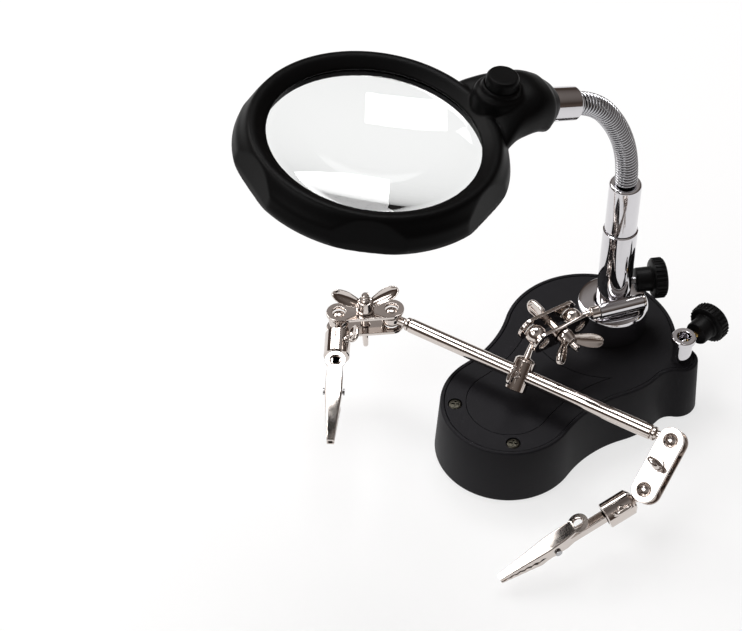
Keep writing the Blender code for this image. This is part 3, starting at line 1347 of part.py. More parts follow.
# The two sides
for word, side in SIDES.items():
    out = rod_way * side["way"]
    reach = ROD_RIGHT if side["way"] > 0 else ROD_LEFT
    stud_origin = rod_middle + out * (reach - ROD_BALL_REACH)
    ball_1 = rod_middle + out * reach
    ball_spin = Frame(word + "_ball_spin", axes(stud_origin, out, UP), rod_slide)
    stud_profile = [
        (0.0, -ROD_SPIGOT_LENGTH),
        (ROD_SPIGOT_R, -ROD_SPIGOT_LENGTH),
        (ROD_SPIGOT_R, SEAT_GAP),
        (ROD_R - 0.0002, SEAT_GAP),
        (ROD_R - 0.0002, 0.0016),
        (ROD_NECK_R, 0.0024),
    ]
    stud_profile += ball_end(ROD_NECK_R, ROD_BALL_REACH)
    add(word + "_rod_ball", turned(stud_profile, ROUND_ARM), ball_spin, "nickel")

    roll = math.radians(side["roll"])
    swing = math.radians(side["swing"])
    normal = UP * math.cos(roll) - rod_across * math.sin(roll)
    across = -(UP * math.sin(roll) + rod_across * math.cos(roll))
    way = out * math.cos(swing) + across * math.sin(swing)
    swing_inner = Frame(word + "_swing_inner", axes(ball_1, normal, way), ball_spin)
    add_clamp(word, swing_inner, side["nut"])

    ball_2 = ball_1 + way * BALL_SPACING
    swing_outer = Frame(word + "_swing_outer", axes(ball_2, normal, way), swing_inner)
    clip_way = heading(side["heading"], side["pitch"])
    holder_at = axes(ball_2, clip_way, UP)
    clip_up = holder_at.to_3x3() @ Vector((1, 0, 0))
    clip_side = clip_up.cross(clip_way)
    mouth = HOLDER_START + HOLDER_LENGTH
    bore_end = mouth - HOLDER_BORE_DEPTH
    holder = turned(ball_start(ROD_NECK_R) + [
        (ROD_NECK_R, HOLDER_START - 0.0004),
        (0.70 * HOLDER_R, HOLDER_START),
        (HOLDER_R, HOLDER_START + 0.0016),
        (HOLDER_R, mouth - 0.0004),
        (HOLDER_R - 0.0004, mouth),
        (HOLDER_BORE_R, mouth),
        (HOLDER_BORE_R, bore_end),
        (0.0, bore_end),
    ], ROUND_ARM)
    screw_turn = math.radians(side["screw_turn"])
    thumb_way = clip_side * math.cos(screw_turn) + clip_up * math.sin(screw_turn)
    thumb_point = ball_2 + clip_way * (mouth - HOLDER_SCREW_FROM_MOUTH)
    thumb_at = axes(thumb_point, thumb_way, clip_way)
    thumb_hole = cylinder(THUMB_R + RUN_GAP, 0.0025, 0.010, ROUND_SMALL)
    holder = cut(holder, moved(thumb_hole, holder_at.inverted() @ thumb_at))
    add(word + "_clip_holder", holder, swing_outer, "nickel", holder_at)
    thumb_turn = Frame(word + "_thumbscrew_turn", thumb_at, swing_outer)
    thumb_tip = math.hypot(CLIP_TAIL_HALF, CLIP_TAIL_HALF) + SEAT_GAP
    add(word + "_clip_thumbscrew", thumbscrew(thumb_tip, thumb_tip + THUMB_SHANK), thumb_turn, "nickel")

    clip_spin = Frame(word + "_clip_spin", axes(ball_2 + clip_way * mouth, clip_way, UP), swing_outer)
    pivot = ball_2 + clip_way * (mouth + side["mouth"]) + clip_up * CLIP_DROP
    clip_at = axes(pivot, clip_up, clip_way)
    jaw = Frame(word + "_jaw", axes(pivot, -clip_side, clip_way), clip_spin)
    add(word + "_fixed_jaw", fixed_jaw(side["mouth"] + CLIP_TAIL_DEPTH), clip_spin, "nickel", clip_at)
    add(word + "_moving_jaw", moving_jaw(), jaw, "nickel", clip_at)
    add(word + "_pivot_pin", pivot_pin(), clip_spin, "steel", clip_at)
    add(word + "_clip_spring", clip_spring(), clip_spin, "steel", clip_at)
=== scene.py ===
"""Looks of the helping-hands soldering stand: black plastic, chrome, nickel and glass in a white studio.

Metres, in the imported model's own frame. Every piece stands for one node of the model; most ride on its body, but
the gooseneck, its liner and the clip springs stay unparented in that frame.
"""

import json
import math

import bmesh
import bpy
from mathutils import Matrix, Vector


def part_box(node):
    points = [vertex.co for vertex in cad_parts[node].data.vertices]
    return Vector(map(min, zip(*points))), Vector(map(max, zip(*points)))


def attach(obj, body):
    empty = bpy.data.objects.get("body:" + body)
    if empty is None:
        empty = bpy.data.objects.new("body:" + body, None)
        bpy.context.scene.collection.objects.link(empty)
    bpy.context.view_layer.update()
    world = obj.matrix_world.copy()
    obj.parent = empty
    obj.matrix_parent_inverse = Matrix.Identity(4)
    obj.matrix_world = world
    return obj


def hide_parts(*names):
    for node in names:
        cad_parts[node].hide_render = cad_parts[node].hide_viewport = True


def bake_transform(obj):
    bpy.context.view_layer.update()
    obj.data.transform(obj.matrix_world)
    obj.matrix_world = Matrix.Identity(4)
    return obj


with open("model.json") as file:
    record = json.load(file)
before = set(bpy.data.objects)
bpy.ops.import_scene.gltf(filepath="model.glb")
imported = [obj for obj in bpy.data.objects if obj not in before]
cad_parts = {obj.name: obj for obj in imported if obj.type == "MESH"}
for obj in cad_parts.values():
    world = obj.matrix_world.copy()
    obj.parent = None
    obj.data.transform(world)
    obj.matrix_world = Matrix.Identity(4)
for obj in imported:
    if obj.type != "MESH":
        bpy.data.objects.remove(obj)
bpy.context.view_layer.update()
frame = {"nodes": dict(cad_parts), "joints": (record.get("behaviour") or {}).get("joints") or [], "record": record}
NODES = frame["nodes"]
RECORD = frame["record"]
JOINTS = {joint["name"]: joint for joint in frame["joints"]}
BODY_OF = {node: body for body, members in RECORD["behaviour"]["bodies"].items() for node in members}
SLOT_OF = {row["node"]: row["material_slot"] for row in RECORD["subparts"]}

# The photograph's view
FOCAL = 106.35
SENSOR = 36.0
VIEW_HEADING = math.radians(42.9)
VIEW_DROP = math.radians(45.94)
VIEW_TARGET = Vector((-0.06253, -0.04903, 0.05688))
VIEW_DISTANCE = 0.9565

# Clearances of pieces at rest and of moving pieces; how far short and long cutting tools overshoot
SEAT_GAP = 0.0003
RUN_GAP = 0.0003
PAST = 0.001
FAR = 0.01

# Base
LOBE_SPACING = 0.0562
FRONT_LOBE_R = 0.0300
REAR_LOBE_R = 0.0389
WAIST_FILLET_R = 0.0540
EAR_X = 0.0391
EAR_Y = 0.0440
EAR_R = 0.0077
EAR_FILLET_R = 0.0096
BASE_HEIGHT = 0.0307
BASE_DRAFT = 0.0017
BASE_EDGE_ROUND = 0.0009
PAD_THICK = 0.0014
PAD_INSET = 0.0020
SHELL_FLOOR = 0.0022
SHELL_WALL = 0.0034
RIM_WALL = 0.0018
RIM_EDGE = 0.0002
TOP_PLATE_THICK = 0.0024
TOP_PLATE_SINK = 0.0003
OUTLINE_STEP = math.radians(3.0)
PLATE_SCREW_HEAD_R = 0.0029
PLATE_SCREW_HEAD_H = 0.0010
PLATE_SCREW_SLOT = 0.0008
PLATE_SCREW_TURN = 0.6
LID_INSET = 0.0115
LID_REAR_R = 0.0352
LID_THICK = 0.0012
LID_LEDGE = 0.0014
CELL_R = 0.00525
CELL_GAP = 0.0004
CELL_DROP = 0.0006
CELL_FRONT_Y = -0.0364
CELL_LENGTH = 0.0445
TRAY_WALL = 0.0015
TRAY_END = 0.0011
TRAY_LAP = 0.0003

# Post, its side barrel, and the socket
POST_X = 0.0024
POST_Y = 0.0396
POST_R = 0.0076
POST_WALL = 0.0012
POST_EDGE = 0.0005
POST_BORE_R = 0.0064
POST_TOP = 0.0900
POST_FOOT = 0.0190
BARREL_R = 0.0033
BARREL_BORE_R = 0.0020
BARREL_LENGTH = 0.0203
LOCK_SCREW_R = 0.0018
SOCKET_SCREW_R = 0.0014
SOCKET_BORE_R = 0.0030
LOCK_HOLE_FROM = 0.0040
LOCK_HOLE_TO = 0.0120
SOCKET_HOLE_TO = 0.0080

# Gooseneck, from the top of its ferrule to the head
NECK_STRAIGHT = 0.0010
NECK_LOWER_BEND_R = 0.0729
NECK_LOWER_BEND = math.radians(36.5)
NECK_UPPER_BEND_R = 0.0324
NECK_UPPER_BEND = math.radians(34.5)
NECK_HEADING = math.radians(-109.0)
NECK_R = 0.0049
NECK_WIRE_R = 0.00058
NECK_PITCH = 0.00160
NECK_CORE_R = 0.0035
NECK_STEPS = 120

# Head
HEAD_TILT = math.radians(11.8)
HEAD_RISE = 0.0083
HEAD_FERRULE_LENGTH = 0.0128
HEAD_VOXEL = 0.00052
LENS_R = 0.0450
LENS_EDGE = 0.0033
LENS_CROWN = 0.0036
LENS_RINGS = 15
RING_LIP = 0.0035
RING_LIP_THICK = 0.0012
RING_CREST_OUT = 0.0025
RING_CREST_RISE = 0.0032
RING_WALL = 0.0090
RING_DEPTH = 0.0130
RING_FOOT_IN = 0.0040
RING_RIM_IN = 0.00015
RING_COLUMNS = 288
GRIP_DEPTH = 0.0020
GRIP_LEAN = math.radians(12.0)
GRIP_HALF = math.radians(15.5)
GRIP_SCOOP = 0.0004
GRIP_SPACING = math.radians(60.0)
HANDLE_LENGTH = 0.0258
HANDLE_END_R = 0.0076
HANDLE_HALF_WIDTH = 0.0135
HANDLE_HALF_HEIGHT = 0.0104
HANDLE_SINK = 0.0004
HANDLE_STEP = 0.0054
HANDLE_STEP_DROP = 0.0006
HANDLE_ROOT_HALF_WIDTH = 0.0205
HANDLE_ROOT_SINK = 0.0035
HANDLE_SIDES = 64
HANDLE_SQUARENESS = 0.8
BUTTON_FROM_RING = 0.0004
BUTTON_R = 0.0066
BUTTON_BOSS_R = 0.0092
BUTTON_BOSS_TOP = 0.0115
BUTTON_POCKET = 0.0030

# Thumb knobs
KNOB_R = 0.0091
KNOB_RIBS = 30
KNOB_RIB_R = 0.00042
KNOB_DISC_THICK = 0.0062
KNOB_NECK_R = 0.0055

# Double-ball clamps
BALL_R = 0.0046
BALL_SPACING = 0.0234
BALL_HOLE_R = 0.0030
PLATE_HALF_GAP = 0.0039
PLATE_THICK = 0.0016
PLATE_END_R = 0.0056
CLAMP_SCREW_R = 0.0017
CLAMP_SCREW_TAIL = 0.0040
CLAMP_COLLAR_R = 0.0030
CLAMP_COLLAR_LENGTH = 0.0010
SPADE_LENGTH = 0.0072
SPADE_HALF_WIDTH = 0.0033
SPADE_THICK = 0.0022
SPADE_HOLLOW = 0.00045
RIGHT_TAB_TURN = math.radians(24.0)
NUT_HUB_R = 0.0040
NUT_HUB_LENGTH = 0.0056
NUT_HUB_SKIRT = 0.0016
NUT_VOXEL = 0.00021
WING_ROOT = 0.0026
WING_LIFT = 0.0004
WING_REACH = 0.0112
WING_RISE = math.radians(34.0)
WING_TURN = math.radians(38.0)
WING_SCOOP = 0.0009
WING_HALF_WIDTH = 0.0031
WING_THICK = 0.0017
SMALL_EDGE = 0.0002
TIP_EDGE = 0.0003

# Rod, thumbscrews and threads
ROD_R = 0.0033
THUMB_R = 0.0014
THUMB_SHANK = 0.0060
THUMB_TAB_HALF_WIDTH = 0.0044
THUMB_TAB_HALF_HEIGHT = 0.0029
THUMB_TAB_THICK = 0.0016
THUMB_TAB_HOLLOW = 0.00035
CLIP_TAIL_HALF = 0.0021
CLIP_BORE_R = 0.0025
THREAD_PITCH = 0.0007
THREAD_WIRE_R = 0.00022

# Clips
CLIP_DROP = 0.0012
CLIP_TAIL_DEPTH = 0.0110
JAW_LENGTH = 0.0268
JAW_SHEET = 0.0007
JAW_FOLD = 0.0009
JAW_INNER_FOLD = 0.00008
JAW_EDGE = 0.00012
JAW_HALF_WIDTH = 0.0037
JAW_TIP_HALF_WIDTH = 0.0016
JAW_HEIGHT = 0.0038
JAW_TIP_HEIGHT = 0.0016
JAW_BITE = 0.00025
TOOTH_COUNT = 6
TOOTH_DEPTH = 0.0009
EAR_REACH = 0.0132
EAR_DISC_R = 0.0045
EAR_HOLE_R = 0.0020
EAR_ROLL = 0.0008
EAR_RISE = 0.0058
EAR_DIP = 0.00012
EAR_NECK = 0.0080
MOVING_TEETH_FROM = 0.0052
FIXED_TEETH_FROM = 0.0082
FIXED_TAIL_TO = 0.0085
PIN_R = 0.0009
SPRING_WIRE_R = 0.00026
SPRING_R = 0.00165
SPRING_CURLS = 2
SPRING_PITCH = 0.00095
SPRING_FOOT = 0.0036
SPRING_TOE = 0.0042

# Points nearer than the first are one point, and rings nearer than the second are one ring
SAME_POINT = 2e-6
SAME_RING = 4e-5

UP = Vector((0, 0, 1))
HERE = Matrix.Identity(4)


# Node trees

class Num:
    """A node's socket that takes part in Python sums; each sum adds a Math node."""

    def __init__(self, nodes, socket):
        self.nodes = nodes
        self.socket = socket

    def sum(self, operation, first, second=0.0):
        return self.nodes.add("ShaderNodeMath", {"operation": operation}, {0: first, 1: second})

    def __add__(self, other):
        return self.sum("ADD", self, other)

    def __sub__(self, other):
        return self.sum("SUBTRACT", self, other)

    def __rsub__(self, other):
        return self.sum("SUBTRACT", other, self)

    def __mul__(self, other):
        return self.sum("MULTIPLY", self, other)

    __radd__ = __add__
    __rmul__ = __mul__

    def above(self, other):
        return self.sum("GREATER_THAN", self, other)


class Nodes:
    """A node tree under construction, around a shader where it has one."""

    def __init__(self, tree, shader=None):
        self.tree = tree
        self.shader = tree.nodes[shader] if shader else None

    def add(self, kind, settings=None, sockets=None, output=0):
        """A node of a type: its settings first, then values or links for its sockets; gives one output."""
        node = self.tree.nodes.new(kind)
        for name, value in (settings or {}).items():
            if name == "stops":
                self.set_stops(node.color_ramp, value)
            else:
                setattr(node, name, value)
        for name, value in (sockets or {}).items():
            if isinstance(value, Num):
                self.tree.links.new(value.socket, node.inputs[name])
            else:
                node.inputs[name].default_value = value
        return Num(self, node.outputs[output])

    @staticmethod
    def set_stops(ramp, stops):
        while len(ramp.elements) < len(stops):
            ramp.elements.new(1.0)
        for element, (place, colour) in zip(ramp.elements, stops):
            element.position = place
            element.color = (*colour, 1.0)

    def feed(self, socket, value):
        self.tree.links.new(value.socket, self.shader.inputs[socket])


class Finish(Nodes):
    """One material around its Principled shader."""

    def __init__(self, name, **numbers):
        self.material = bpy.data.materials.new(name)
        self.material.use_nodes = True
        super().__init__(self.material.node_tree, "Principled BSDF")
        for socket, value in numbers.items():
            self.shader.inputs[socket.replace("_", " ")].default_value = value

    def place(self, stretch=(1.0, 1.0, 1.0)):
        """Object coordinates, stretched along each axis."""
        where = self.add("ShaderNodeTexCoord", output=3)
        return self.add("ShaderNodeMapping", {}, {"Vector": where, "Scale": stretch})

    def noise(self, size, detail=3.0, rough=0.55, stretch=(1.0, 1.0, 1.0)):
        """Cloudy pattern whose features are about a size across, in metres."""
        sockets = {"Vector": self.place(stretch), "Scale": 1.0 / size, "Detail": detail, "Roughness": rough}
        return self.add("ShaderNodeTexNoise", {}, sockets)

    def grain(self, size):
        """Small rounded cells, as on a spark-eroded mould."""
        return self.add("ShaderNodeTexVoronoi", {}, {"Vector": self.place(), "Scale": 1.0 / size})

    def step(self, value, low, high):
        """0 below low, 1 above high, smooth between."""
        sockets = {"Value": value, "From Min": low, "From Max": high}
        return self.add("ShaderNodeMapRange", {"interpolation_type": "SMOOTHSTEP"}, sockets)

    def tint(self, amount, low, high):
        """Colour that runs from low to high as the amount goes from 0 to 1."""
        sockets = {0: amount, 6: (*low, 1.0), 7: (*high, 1.0)}
        return self.add("ShaderNodeMix", {"data_type": "RGBA"}, sockets, output=2)

    def bump(self, height, depth, strength=1.0):
        sockets = {"Height": height, "Distance": depth, "Strength": strength}
        self.feed("Normal", self.add("ShaderNodeBump", {}, sockets))


def charcoal_shell():
    """Base mouldings: near-black with a fine eroded texture and a little dust."""
    finish = Finish("charcoal_shell", Specular_IOR_Level=0.09)
    cells = finish.grain(0.00055)
    fine = finish.noise(0.00030, 2.0)
    cloud = finish.noise(0.021, 4.0)
    specks = finish.step(finish.noise(0.0008, 1.0), 0.66, 0.74)
    shade = cloud * 0.6 + specks * 0.35
    finish.feed("Base Color", finish.tint(shade, (0.0082, 0.0079, 0.0096), (0.0180, 0.0174, 0.0204)))
    finish.feed("Roughness", 0.44 + cloud * 0.12 + fine * 0.06)
    finish.bump(cells * 0.7 + fine * 0.5, 0.00007, 0.55)
    return finish.material


def moulded(name, dark, light, patch, grain, rough, depth, strength, **numbers):
    """Plain moulded or cast stuff: two shades, the noise of its patches and of its grain, its roughness with
    what patches and grain add to it, and the depth and strength of its grain."""
    finish = Finish(name, **numbers)
    cloud = finish.noise(*patch)
    fine = finish.noise(*grain)
    finish.feed("Base Color", finish.tint(cloud, dark, light))
    finish.feed("Roughness", rough[0] + cloud * rough[1] + fine * rough[2])
    finish.bump(fine, depth, strength)
    return finish.material


def plated(name, dull, bright, smooth, smudge, lines):
    """Plated metal: a colour range, a base roughness, what smudges add, and the depth of polishing lines."""
    finish = Finish(name, Metallic=1.0)
    cloud = finish.noise(0.011, 4.0, 0.6)
    streak = finish.noise(0.00035, 2.0, 0.5, (1.0, 1.0, 0.06))
    finish.feed("Base Color", finish.tint(cloud, dull, bright))
    finish.feed("Roughness", smooth + finish.step(cloud, 0.45, 0.75) * smudge)
    finish.bump(streak, lines, 0.25)
    return finish.material


def lens_glass():
    """Clear crown glass with the faintest wiped film."""
    finish = Finish("lens_glass", IOR=1.50, Transmission_Weight=1.0, Base_Color=(0.985, 0.995, 0.99, 1.0))
    finish.feed("Roughness", finish.step(finish.noise(0.012, 4.0), 0.5, 0.8) * 0.012)
    return finish.material


def lamp_clear():
    """Water-clear lamp body."""
    finish = Finish("lamp_clear", IOR=1.49, Transmission_Weight=0.8)
    cloud = finish.noise(0.004)
    finish.feed("Base Color", finish.tint(cloud, (0.90, 0.92, 0.90), (0.97, 0.98, 0.96)))
    finish.feed("Roughness", 0.05 + cloud * 0.05)
    return finish.material


def cell_sleeve():
    """Battery sleeve: dark body and a copper-coloured end, by place along the cell."""
    finish = Finish("cell_sleeve", Metallic=0.6)
    along = finish.add("ShaderNodeSeparateXYZ", {}, {0: finish.place()}, output=1)
    finish.feed("Base Color", finish.tint(along.above(-0.004), (0.05, 0.05, 0.055), (0.50, 0.27, 0.12)))
    finish.feed("Roughness", 0.22 + finish.noise(0.004) * 0.12)
    return finish.material


FINISHES = {
    "charcoal_shell": charcoal_shell(),
    "black_plastic": moulded("satin_black", (0.0016, 0.0016, 0.0017), (0.0032, 0.0032, 0.0034), (0.030, 4.0),
                             (0.00040, 3.0), (0.33, 0.10, 0.06), 0.00004, 0.35, Specular_IOR_Level=0.06),
    "knob": moulded("knob_black", (0.0026, 0.0026, 0.0028), (0.0062, 0.0062, 0.0066), (0.006, 3.0),
                    (0.00030, 2.0), (0.36, 0.16, 0.0), 0.00004, 0.4, Specular_IOR_Level=0.11),
    "rubber_pad": moulded("foot_rubber", (0.012, 0.012, 0.012), (0.026, 0.026, 0.026), (0.012, 4.0),
                          (0.0005, 3.0), (0.72, 0.16, 0.0), 0.00008, 0.5),
    "ballast_iron": moulded("cast_iron", (0.06, 0.055, 0.05), (0.16, 0.15, 0.14), (0.0012, 4.0, 0.65),
                            (0.0012, 4.0, 0.65), (0.55, 0.3, 0.0), 0.0003, 0.6, Metallic=0.8),
    "bright_chrome": plated("bright_chrome", (0.60, 0.59, 0.61), (0.70, 0.69, 0.71), 0.035, 0.04, 0.000001),
    "nickel_plate": plated("nickel_plate", (0.57, 0.51, 0.475), (0.71, 0.66, 0.625), 0.07, 0.07, 0.000002),
    "neck_wire": plated("neck_wire", (0.40, 0.40, 0.42), (0.53, 0.53, 0.55), 0.09, 0.08, 0.000001),
    "brass": plated("brass", (0.52, 0.33, 0.10), (0.72, 0.50, 0.18), 0.20, 0.10, 0.000012),
    "steel": plated("steel", (0.38, 0.38, 0.39), (0.52, 0.52, 0.53), 0.24, 0.12, 0.000015),
    "dark_screw": plated("dark_screw", (0.026, 0.024, 0.019), (0.060, 0.056, 0.045), 0.34, 0.14, 0.000015),
    "cell_sleeve": cell_sleeve(),
    "lens_glass": lens_glass(),
    "lamp_lens": lamp_clear(),
}
FINISH_OF = {node: SLOT_OF[node] for node in NODES}
FINISH_OF.update({"post_lock_knob": "knob", "socket_knob": "knob", "gooseneck": "neck_wire"})
FINISH_OF.update({"plate_screw_1": "dark_screw", "plate_screw_2": "dark_screw"})


# Meshes

def piece_from(name, data):
    """A new object for a mesh, curve, lamp or camera."""
    piece = bpy.data.objects.new(name, data)
    bpy.context.scene.collection.objects.link(piece)
    return piece


def piece_of(name, shape, at=None):
    """A new object for a shape under construction, which is used up; a frame also sets its faces outward."""
    if at is not None:
        bmesh.ops.recalc_face_normals(shape, faces=shape.faces)
        shape.transform(at)
    mesh = bpy.data.meshes.new(name)
    shape.to_mesh(mesh)
    shape.free()
    return piece_from(name, mesh)


def changed(piece, kind, **settings):
    """The plain mesh that one modifier makes of a piece."""
    step = piece.modifiers.new(kind.lower(), kind)
    for name, value in settings.items():
        setattr(step, name, value)
    return bake(piece)


def bake(piece):
    """Turns what an object's modifiers make into its plain mesh."""
    graph = bpy.context.evaluated_depsgraph_get()
    mesh = bpy.data.meshes.new_from_object(piece.evaluated_get(graph))
    name = piece.name
    bpy.data.objects.remove(piece)
    return piece_from(name, mesh)


def smooth(piece, sharp_above):
    """Smooth shading that keeps edges sharper than an angle."""
    mesh = piece.data
    for face in mesh.polygons:
        face.use_smooth = True
    mesh.set_sharp_from_angle(angle=math.radians(sharp_above))
    return piece


def whole_shape(node):
    """A node's mesh with its loose triangles joined."""
    shape = bmesh.new()
    shape.from_mesh(NODES[node].data)
    bmesh.ops.remove_doubles(shape, verts=shape.verts, dist=SAME_POINT)
    return shape


def dressed(piece, node):
    """Gives a piece a node's finish."""
    piece.data.materials.clear()
    piece.data.materials.append(FINISHES[FINISH_OF[node]])


def marked(node):
    """Hides a node's own mesh."""
    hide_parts(node)


def stands_for(piece, node):
    """Gives a piece a node's finish and body, and hides the node."""
    dressed(piece, node)
    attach(piece, BODY_OF[node])
    marked(node)


def bends_for(piece, node):
    """Gives a piece a node's finish, bakes its placement into its mesh, and hides the node."""
    dressed(piece, node)
    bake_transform(piece)
    marked(node)


def rounded(piece, width, steps=2, limit=38.0):
    """Small rounds on a piece's edges, with its flat faces kept flat."""
    piece = changed(piece, "BEVEL", width=width, segments=steps, limit_method="ANGLE",
                    angle_limit=math.radians(limit))
    return changed(smooth(piece, 32.0), "WEIGHTED_NORMAL", keep_sharp=True)


def carved(piece, *tools, way="DIFFERENCE"):
    """A piece less its tools, or joined with them."""
    for tool in tools:
        piece = changed(piece, "BOOLEAN", operation=way, solver="EXACT", object=tool)
        bpy.data.objects.remove(tool)
    return piece


def skinned(piece, voxel, passes):
    """One smooth skin over all the forms of a piece."""
    piece = changed(piece, "REMESH", mode="VOXEL", voxel_size=voxel)
    return changed(piece, "SMOOTH", factor=0.5, iterations=passes)


def together(name, *pieces):
    """One piece that holds the meshes of several."""
    shape = bmesh.new()
    for piece in pieces:
        shape.from_mesh(piece.data)
        bpy.data.objects.remove(piece)
    return piece_of(name, shape)


def shifted(x=0.0, y=0.0, z=0.0):
    return Matrix.Translation((x, y, z))


def axes(origin, z_axis, x_hint=UP):
    """Matrix at an origin with its Z along an axis and its X as near a hint as it can be."""
    z = Vector(z_axis).normalized()
    hint = Vector(x_hint)
    if abs(z.dot(hint.normalized())) > 0.999:
        hint = Vector((1.0, 0.0, 0.0))
    x = (hint - z * hint.dot(z)).normalized()
    return Matrix.Translation(Vector(origin)) @ Matrix((x, z.cross(x), z)).transposed().to_4x4()


def pivot_of(joint):
    return Vector(JOINTS[joint]["pos_m"])


def way_of(joint):
    return Vector(JOINTS[joint]["axis"]).normalized()


def along_joint(joint, x_hint=UP):
    return axes(pivot_of(joint), way_of(joint), x_hint)


def middle_of(node):
    low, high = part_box(node)
    return (Vector(low) + Vector(high)) / 2


def heart_of(node):
    """Mean of a node's distinct points, which lies on the axis of a turned form."""
    points = {tuple(round(side, 7) for side in vert.co) for vert in NODES[node].data.vertices}
    return Vector([sum(side) / len(points) for side in zip(*points)])


def between(low, high, share):
    return low + (high - low) * share


def lathe(name, profile, at=HERE, sides=72):
    """Body of revolution about a frame's Z from (radius, z) points."""
    shape = bmesh.new()
    turns = [2 * math.pi * k / sides for k in range(sides)]
    rows = []
    for radius, z in profile:
        if radius == 0.0:
            rows.append([shape.verts.new((0.0, 0.0, z))])
        else:
            rows.append([shape.verts.new((radius * math.cos(t), radius * math.sin(t), z)) for t in turns])
    pairs = list(zip(rows, rows[1:]))
    if profile[0][0] > 0.0:
        pairs.append((rows[-1], rows[0]))
    for low, high in pairs:
        for k in range(sides):
            n = (k + 1) % sides
            if len(low) == 1:
                shape.faces.new((low[0], high[n], high[k]))
            elif len(high) == 1:
                shape.faces.new((low[k], low[n], high[0]))
            else:
                shape.faces.new((low[k], low[n], high[n], high[k]))
    return piece_of(name, shape, at)


def rod(name, radius, low, high, at=HERE, sides=48):
    return lathe(name, [(0.0, low), (radius, low), (radius, high), (0.0, high)], at, sides)


def loft(name, rows, at=HERE, hoop=False):
    """Skin over closed rows of points; a hoop joins its last row to its first."""
    shape = bmesh.new()
    made = [[shape.verts.new(point) for point in row] for row in rows]
    count = len(rows[0])
    for low, high in zip(made, made[1:] + made[:1] if hoop else made[1:]):
        for k in range(count):
            n = (k + 1) % count
            shape.faces.new((low[k], low[n], high[n], high[k]))
    if not hoop:
        shape.faces.new(made[0])
        shape.faces.new(made[-1])
    return piece_of(name, shape, at)


def prism(name, outline, low, high, at=HERE):
    return loft(name, [[(x, y, z) for x, y in outline] for z in (low, high)], at)


def block(name, low, high):
    (x0, y0, z0), (x1, y1, z1) = low, high
    return prism(name, [(x0, y0), (x1, y0), (x1, y1), (x0, y1)], z0, z1)


def stadium(start, end, radius, steps=24):
    """Outline of a flat bar with round ends, along X."""
    points = []
    for middle, first in ((end, -math.pi / 2), (start, math.pi / 2)):
        turns = [first + math.pi * k / steps for k in range(steps + 1)]
        points += [(middle + radius * math.cos(t), radius * math.sin(t)) for t in turns]
    return points


def curve_through(points, steps):
    """Finer points on a smooth curve through given ones."""
    ends = [points[0]] + list(points) + [points[-1]]
    made = []
    for corners in zip(ends, ends[1:], ends[2:], ends[3:]):
        for k in range(steps):
            t = k / steps
            pull = (2 * t ** 2 - t - t ** 3, 2 - 5 * t ** 2 + 3 * t ** 3,
                    t + 4 * t ** 2 - 3 * t ** 3, t ** 3 - t ** 2)
            made.append(tuple(sum(p * q for p, q in zip(pull, row)) / 2 for row in zip(*corners)))
    return made + [tuple(points[-1])]


def profile_of(node, at):
    """(radius, z) profile of a turned node about a frame's Z, from the rings of points in its mesh."""
    shape = whole_shape(node)
    back = at.inverted()
    places, ring_of = [], {}
    for vert in shape.verts:
        point = back @ vert.co
        spot = (point.xy.length, point.z)
        near = [k for k, (r, z) in enumerate(places) if abs(r - spot[0]) + abs(z - spot[1]) < SAME_RING]
        if not near:
            places.append(spot)
        ring_of[vert.index] = near[0] if near else len(places) - 1
    members = list(ring_of.values())
    most = max(members.count(k) for k in range(len(places)))
    whole = {k for k in range(len(places)) if members.count(k) >= 0.6 * most or places[k][0] < SAME_RING}
    links = {k: set() for k in whole}
    for edge in shape.edges:
        a, b = (ring_of[vert.index] for vert in edge.verts)
        if a != b and a in whole and b in whole:
            links[a].add(b)
            links[b].add(a)
    shape.free()
    ends = [k for k in sorted(links) if len(links[k]) == 1]
    path = [ends[0] if ends else min(links)]
    onward = path
    while onward:
        onward = [k for k in sorted(links[path[-1]]) if k not in path]
        path += onward[:1]
    if len(path) != len(whole):
        raise ValueError("%s is not a plain turned form" % node)
    profile = [(0.0 if places[k][0] < SAME_RING else places[k][0], places[k][1]) for k in path]
    if ends:
        first, last = profile[0], profile[-1]
        profile = [(0.0, first[1])] * (first[0] > 0.0) + profile + [(0.0, last[1])] * (last[0] > 0.0)
    return profile


def with_ball(profile, middle, radius=BALL_R, steps=18):
    """A profile whose points on a ball are replaced by a fine arc."""
    on = [k for k, (r, z) in enumerate(profile) if abs(math.hypot(r, z - middle) - radius) < 0.03 * radius]
    start, end = (math.atan2(profile[k][0], profile[k][1] - middle) for k in (on[0], on[-1]))
    turns = [between(start, end, k / steps) for k in range(steps + 1)]
    ball = [(max(0.0, radius * math.sin(t)), middle + radius * math.cos(t)) for t in turns]
    ball = [(0.0 if r < 1e-7 else r, z) for r, z in ball]
    return profile[:on[0]] + ball + profile[on[-1] + 1:]


def turn_again(node, at, edge=0.0002, ball_at=None, cuts=(), sides=72):
    """A turned node made anew with fine sides, its ball true and its edges rounded."""
    profile = profile_of(node, at)
    if ball_at is not None:
        profile = with_ball(profile, ball_at)
    stands_for(rounded(carved(lathe(node + "_finished", profile, at, sides), *cuts), edge), node)


# Geometry node trees

